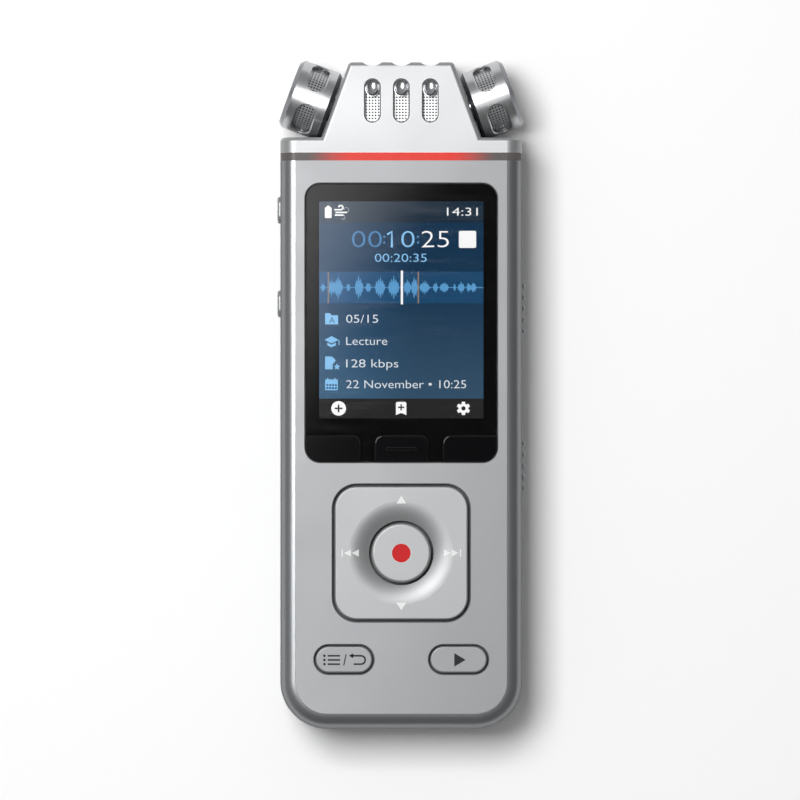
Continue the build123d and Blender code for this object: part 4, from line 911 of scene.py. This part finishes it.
def smoked_guide():
    """Smoked plastic that glows red in the middle of the front."""
    made = bpy.data.materials.new("smoked_light_guide")
    made.use_nodes = True
    tree = made.node_tree
    shader = tree.nodes["Principled BSDF"]
    shader.inputs["Roughness"].default_value = 0.25
    shader.inputs["Specular IOR Level"].default_value = 0.15
    shader.inputs["Emission Strength"].default_value = 1.0
    where = tree.nodes.new("ShaderNodeTexCoord")
    split = tree.nodes.new("ShaderNodeSeparateXYZ")
    tree.links.new(where.outputs["Object"], split.inputs[0])
    across = maths(tree, "ABSOLUTE", split.outputs["X"])
    middle = fade(tree, across, GLOW_FULL, GLOW_GONE, 1.0, 0.0)
    front = fade(tree, split.outputs["Z"], guide_high.z - GLOW_BACK, guide_high.z - GLOW_FRONT)
    lit_share = maths(tree, "MULTIPLY", middle, front)
    cloud = tree.nodes.new("ShaderNodeTexNoise")
    cloud.inputs["Scale"].default_value = 500.0
    tree.links.new(where.outputs["Object"], cloud.inputs["Vector"])
    glowing = tree.nodes.new("ShaderNodeMix")
    glowing.data_type = "RGBA"
    glowing.inputs["A"].default_value = (0.0, 0.0, 0.0, 1)
    glowing.inputs["B"].default_value = srgb("cf3026")
    tree.links.new(lit_share, glowing.inputs["Factor"])
    tree.links.new(glowing.outputs["Result"], shader.inputs["Emission Color"])
    body = tree.nodes.new("ShaderNodeMix")
    body.data_type = "RGBA"
    body.inputs["A"].default_value = srgb("5a5655")
    body.inputs["B"].default_value = srgb("6a201c")
    tree.links.new(maths(tree, "MULTIPLY", lit_share, fade(tree, cloud.outputs["Fac"], 0.3, 0.7, 0.92, 1.0)),
                   body.inputs["Factor"])
    tree.links.new(body.outputs["Result"], shader.inputs["Base Color"])
    return made


coat(smoked_guide(), "light_guide")
coat(glow("lamp_red", "e0402e"), "indicator_leds")


# ---- Microphone head ----------------------------------------------------------------------------
# A cast head, fine-blasted and plated satin silver. Behind its slots a punched steel sheet is bent
# round from front to back, over black acoustic cloth.
head_low, head_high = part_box("head_shell")
coat(satin_finish("head_satin_plate", "9d9e9f", 0.7, 0.44, grain=0.06, fleck=0.04, edge="f4f4f5", wear=0.6,
                  crown=(0.0, 2.4, head_low.y - 1 * MM)),
     "head_shell")

HOLE_PITCH = 0.56
HOLE_RADIUS = 0.185
SHEET_T = 0.12
mesh_steel = satin_finish("punched_steel", "b4b5b6", 0.75, 0.34, grain=0.15, fleck=0.04)
cloth = satin_finish("acoustic_cloth", "131314", 0.0, 0.95, grain=0.12, fleck=0.4, depth=0.8, shine=0.1)


def punched_cell():
    """One square of sheet with a round hole in its middle, made from a circle's rim."""
    only_none()
    bpy.ops.mesh.primitive_circle_add(vertices=8, radius=HOLE_RADIUS * MM, fill_type="NOTHING")
    cell = bpy.context.object
    bpy.context.tool_settings.mesh_select_mode = (True, False, False)
    bpy.ops.object.mode_set(mode="EDIT")
    bpy.ops.mesh.select_all(action="SELECT")
    bpy.ops.mesh.extrude_region_move()
    bpy.ops.transform.resize(value=(HOLE_PITCH / 2 / HOLE_RADIUS,) * 2 + (1,))
    bpy.ops.object.mode_set(mode="OBJECT")
    half = HOLE_PITCH / 2 * MM
    for vertex in cell.data.vertices:
        reach = max(abs(vertex.co.x), abs(vertex.co.y))
        if vertex.co.to_2d().length > 1.2 * HOLE_RADIUS * MM:
            vertex.co.x *= half / reach
            vertex.co.y *= half / reach
    return cell


def punched_sheet(name, columns, rows, pitch_x=HOLE_PITCH):
    """A flat punched sheet centred on the origin, columns along X and rows along Y."""
    sheet_made = punched_cell()
    sheet_made.name = name
    sheet_made.scale.x = pitch_x / HOLE_PITCH
    settle(sheet_made)
    for count, step in ((columns, (pitch_x * MM, 0, 0)), (rows, (0, HOLE_PITCH * MM, 0))):
        repeat = sheet_made.modifiers.new("repeat", "ARRAY")
        repeat.use_relative_offset = False
        repeat.use_constant_offset = True
        repeat.constant_offset_displace = step
        repeat.count = count
        repeat.use_merge_vertices = True
        repeat.merge_threshold = 0.004 * MM
    apply_modifiers(sheet_made)
    sheet_made.location = (-(columns - 1) / 2 * pitch_x * MM, -(rows - 1) / 2 * HOLE_PITCH * MM, 0)
    settle(sheet_made)
    return sheet_made


def thicken(piece, thickness):
    """Gives a sheet its thickness, in millimetres, half of it to each side."""
    select_faces(piece, lambda face: True)
    bpy.ops.mesh.normals_make_consistent(inside=False)
    bpy.ops.object.mode_set(mode="OBJECT")
    wall = piece.modifiers.new("thickness", "SOLIDIFY")
    wall.thickness = thickness * MM
    wall.offset = 0
    apply_modifiers(piece)


mesh_low, mesh_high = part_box("head_mesh")
BEND_RADIUS = 1.6 * MM


def bend_hairpin(piece, outset):
    """Lays a flat sheet, its length along Y, round the head mesh's section; outset moves it outwards."""
    radius = BEND_RADIUS + outset
    high_y = mesh_high.y + outset
    front_z = mesh_high.z + outset
    back_z = mesh_low.z - outset
    straight = high_y - radius - mesh_low.y
    quarter = math.pi / 2 * radius
    across = front_z - back_z - 2 * radius
    total = 2 * straight + 2 * quarter + across
    for vertex in piece.data.vertices:
        s = vertex.co.y + total / 2
        if s < straight:
            y, z = mesh_low.y + s, front_z
        elif s < straight + quarter:
            t = (s - straight) / radius
            y, z = high_y - radius + radius * math.sin(t), front_z - radius + radius * math.cos(t)
        elif s < straight + quarter + across:
            y, z = high_y, front_z - radius - (s - straight - quarter)
        elif s < straight + 2 * quarter + across:
            t = (s - straight - quarter - across) / radius
            y, z = high_y - radius + radius * math.cos(t), back_z + radius - radius * math.sin(t)
        else:
            y, z = high_y - radius - (s - straight - 2 * quarter - across), back_z
        vertex.co = (vertex.co.x, y, z)


def hairpin_length(outset):
    """Developed length of a sheet that bend_hairpin lays at the same outset."""
    radius = BEND_RADIUS + outset
    straight = mesh_high.y + outset - radius - mesh_low.y
    return 2 * straight + math.pi * radius + (mesh_high.z - mesh_low.z + 2 * outset - 2 * radius)


head_columns = int((mesh_high.x - mesh_low.x) / MM / HOLE_PITCH)
head_rows = int(hairpin_length(-SHEET_T / 2 * MM) / MM / HOLE_PITCH)
head_mesh = punched_sheet("head_punched_sheet", head_columns, head_rows)
bend_hairpin(head_mesh, -SHEET_T / 2 * MM)
thicken(head_mesh, SHEET_T)
head_mesh.data.materials.append(mesh_steel)
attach(head_mesh, "casing")
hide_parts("head_mesh")

CLOTH_GAP = 0.22 * MM
CLOTH_INSET = 0.4 * MM
CLOTH_T = 0.1
only_none()
bpy.ops.mesh.primitive_grid_add(x_subdivisions=2, y_subdivisions=120, size=1)
head_cloth = bpy.context.object
head_cloth.name = "head_cloth"
head_cloth.scale = (mesh_high.x - mesh_low.x - CLOTH_INSET, hairpin_length(-CLOTH_GAP), 1)
settle(head_cloth)
bend_hairpin(head_cloth, -CLOTH_GAP)
thicken(head_cloth, CLOTH_T)
head_cloth.data.materials.append(cloth)
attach(head_cloth, "casing")


# A polished scoop fills the head end of each slot and turns wind away from the mesh.
SLOT_PITCH = 5.35 * MM
SLOT_END_DROP = 4.55 * MM
SCOOP_RADIUS = 1.33 * MM
SCOOP_SINK = 0.42 * MM
SCOOP_SHAPE = (1, 1.35, 0.72)
SCOOP_TILT = math.radians(-12)
SCOOP_T = 0.08
scoop_finish = satin_finish("scoop_polish", "c0c1c4", 1.0, 0.2, grain=0.1, fleck=0.03)
for n in (-1, 0, 1):
    only_none()
    bpy.ops.mesh.primitive_uv_sphere_add(segments=48, ring_count=24, radius=SCOOP_RADIUS)
    scoop = bpy.context.object
    scoop.name = "head_scoop_" + str(n + 2)
    select_faces(scoop, lambda face: face.center.z > 0)
    bpy.ops.mesh.delete(type="FACE")
    bpy.ops.object.mode_set(mode="OBJECT")
    thicken(scoop, SCOOP_T)
    only(scoop)
    bpy.ops.object.shade_smooth_by_angle(angle=math.radians(40))
    scoop.scale = SCOOP_SHAPE
    scoop.rotation_euler = (SCOOP_TILT, 0, 0)
    scoop.location = (n * SLOT_PITCH, head_high.y - SLOT_END_DROP, head_high.z - SCOOP_SINK)
    settle(scoop)
    scoop.data.materials.append(scoop_finish)
    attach(scoop, "casing")


# ---- Drum microphones ---------------------------------------------------------------------------
# Each is a turned metal drum with fine turning lines, smooth-cut bevels at both ends and four
# windows; a punched sleeve and a punched end disc keep dust off the capsule.
DRUM_TILT = math.radians(20)
DRUM_WIDTH = 8.3 * MM
DRUM_HALF = DRUM_WIDTH / 2
DRUM_BEVEL = 0.75 * MM
grille_low, grille_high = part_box("drum_grille_right")
sleeve_low, sleeve_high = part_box("drum_mesh_right")
mesh_radius = (sleeve_high.z - sleeve_low.z) / 2
disc_radius = (grille_high.z - grille_low.z) / 2
drum_axis = Vector((math.cos(DRUM_TILT), math.sin(DRUM_TILT), 0))
disc_middle = (grille_low + grille_high) / 2
DISC_SINK = 0.5 * MM
DISC_OUT = DRUM_HALF - DISC_SINK
drum_centre = disc_middle - drum_axis * DISC_OUT


def turned_metal():
    """Turning lines round the drum's own axis; past the bevel edge the metal is smoother and darker."""
    made = bpy.data.materials.new("turned_drum_metal")
    made.use_nodes = True
    tree = made.node_tree
    shader = tree.nodes["Principled BSDF"]
    shader.inputs["Metallic"].default_value = 1.0
    where = tree.nodes.new("ShaderNodeTexCoord")
    split = tree.nodes.new("ShaderNodeSeparateXYZ")
    tree.links.new(where.outputs["Object"], split.inputs[0])
    x = maths(tree, "SUBTRACT", maths(tree, "ABSOLUTE", split.outputs["X"]), drum_centre.x)
    y = maths(tree, "SUBTRACT", split.outputs["Y"], drum_centre.y)
    z = maths(tree, "SUBTRACT", split.outputs["Z"], drum_centre.z)
    along = maths(tree, "ADD", maths(tree, "MULTIPLY", x, drum_axis.x),
                  maths(tree, "MULTIPLY", y, drum_axis.y))
    upward = maths(tree, "SUBTRACT", maths(tree, "MULTIPLY", y, drum_axis.x),
                   maths(tree, "MULTIPLY", x, drum_axis.y))
    angle = maths(tree, "ARCTAN2", upward, z)
    lines = tree.nodes.new("ShaderNodeCombineXYZ")
    tree.links.new(maths(tree, "MULTIPLY", along, 9000.0), lines.inputs["X"])
    tree.links.new(maths(tree, "MULTIPLY", angle, 1.2), lines.inputs["Y"])
    noise = tree.nodes.new("ShaderNodeTexNoise")
    noise.inputs["Scale"].default_value = 1.0
    noise.inputs["Detail"].default_value = 3.0
    tree.links.new(lines.outputs[0], noise.inputs["Vector"])
    end = fade(tree, maths(tree, "ABSOLUTE", along), DRUM_HALF - DRUM_BEVEL - 0.03 * MM,
               DRUM_HALF - DRUM_BEVEL + 0.03 * MM)
    bright = tree.nodes.new("ShaderNodeMix")
    bright.data_type = "RGBA"
    bright.inputs["A"].default_value = srgb("b2b3b5")
    bright.inputs["B"].default_value = srgb("cbcccd")
    tree.links.new(noise.outputs["Fac"], bright.inputs["Factor"])
    cut = tree.nodes.new("ShaderNodeMix")
    cut.data_type = "RGBA"
    cut.inputs["B"].default_value = srgb("85868a")
    tree.links.new(bright.outputs["Result"], cut.inputs["A"])
    tree.links.new(end, cut.inputs["Factor"])
    tree.links.new(cut.outputs["Result"], shader.inputs["Base Color"])
    satin = fade(tree, noise.outputs["Fac"], 0.2, 0.8, 0.27, 0.33)
    polish = maths(tree, "MULTIPLY", satin, maths(tree, "MULTIPLY_ADD", end, -0.7, 1.0))
    tree.links.new(polish, shader.inputs["Roughness"])
    bump = tree.nodes.new("ShaderNodeBump")
    bump.inputs["Strength"].default_value = 0.08
    bump.inputs["Distance"].default_value = 0.004 * MM
    tree.links.new(noise.outputs["Fac"], bump.inputs["Height"])
    tree.links.new(bump.outputs[0], shader.inputs["Normal"])
    return made


coat(turned_metal(), "drum_shell_left", "drum_shell_right")


def seat_on_drum(piece, side, along):
    """Turns a piece made round the Z axis to the drum's axis and moves it out along it by along."""
    axis = Vector((side * drum_axis.x, drum_axis.y, 0))
    centre = Vector((side * drum_centre.x, drum_centre.y, drum_centre.z))
    turn = axis.to_track_quat("Z", "X").to_matrix().to_4x4()
    piece.matrix_world = Matrix.Translation(centre + axis * along) @ turn
    settle(piece)


sleeve_cells = round(2 * math.pi * mesh_radius / MM / HOLE_PITCH)
sleeve_pitch = 2 * math.pi * (mesh_radius / MM - SHEET_T / 2) / sleeve_cells
SLEEVE_ROWS = 10
SLEEVE_SHIFT = -0.18 * MM
DISC_CELLS = 18
LINING_GAP = 0.2 * MM
LINING_LENGTH = 5.8 * MM
DISC_INSET = 0.42 * MM
RIM_DEPTH = 0.35 * MM
RIM_WIDTH = 0.75 * MM
RIM_SOFT = 0.08 * MM

for side, word in ((-1, "left"), (1, "right")):
    sleeve = punched_sheet("drum_sleeve_" + word, sleeve_cells, SLEEVE_ROWS, sleeve_pitch)
    radius = mesh_radius - SHEET_T / 2 * MM
    for vertex in sleeve.data.vertices:
        turn = vertex.co.x / radius
        vertex.co = (radius * math.cos(turn), radius * math.sin(turn), vertex.co.y)
    select_faces(sleeve, lambda face: True)
    bpy.ops.mesh.remove_doubles(threshold=0.01 * MM)
    bpy.ops.object.mode_set(mode="OBJECT")
    thicken(sleeve, SHEET_T)
    seat_on_drum(sleeve, side, SLEEVE_SHIFT)
    sleeve.data.materials.append(mesh_steel)
    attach(sleeve, "casing")
    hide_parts("drum_mesh_" + word)

    only_none()
    bpy.ops.mesh.primitive_cylinder_add(vertices=64, radius=radius - LINING_GAP, depth=LINING_LENGTH,
                                        end_fill_type="NOTHING")
    lining = bpy.context.object
    lining.name = "drum_cloth_" + word
    thicken(lining, CLOTH_T)
    only(lining)
    bpy.ops.object.shade_smooth_by_angle(angle=math.radians(40))
    seat_on_drum(lining, side, SLEEVE_SHIFT)
    lining.data.materials.append(cloth)
    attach(lining, "casing")

    disc = punched_sheet("drum_disc_" + word, DISC_CELLS, DISC_CELLS)
    select_faces(disc, lambda face: face.center.to_2d().length > disc_radius - DISC_INSET)
    bpy.ops.mesh.delete(type="FACE")
    bpy.ops.object.mode_set(mode="OBJECT")
    thicken(disc, SHEET_T)
    only_none()
    bpy.ops.mesh.primitive_cylinder_add(vertices=64, radius=disc_radius, depth=RIM_DEPTH)
    rim = bpy.context.object
    select_faces(rim, lambda face: abs(face.normal.z) > 0.9)
    bpy.ops.mesh.inset(thickness=RIM_WIDTH)
    bpy.ops.mesh.delete(type="FACE")
    bpy.ops.object.mode_set(mode="OBJECT")
    soften = rim.modifiers.new("soften", "BEVEL")
    soften.width = RIM_SOFT
    soften.segments = 2
    apply_modifiers(rim)
    disc = join("drum_disc_" + word, disc, rim)
    seat_on_drum(disc, side, DISC_OUT)
    disc.data.materials.append(mesh_steel)
    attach(disc, "casing")
    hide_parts("drum_grille_" + word)
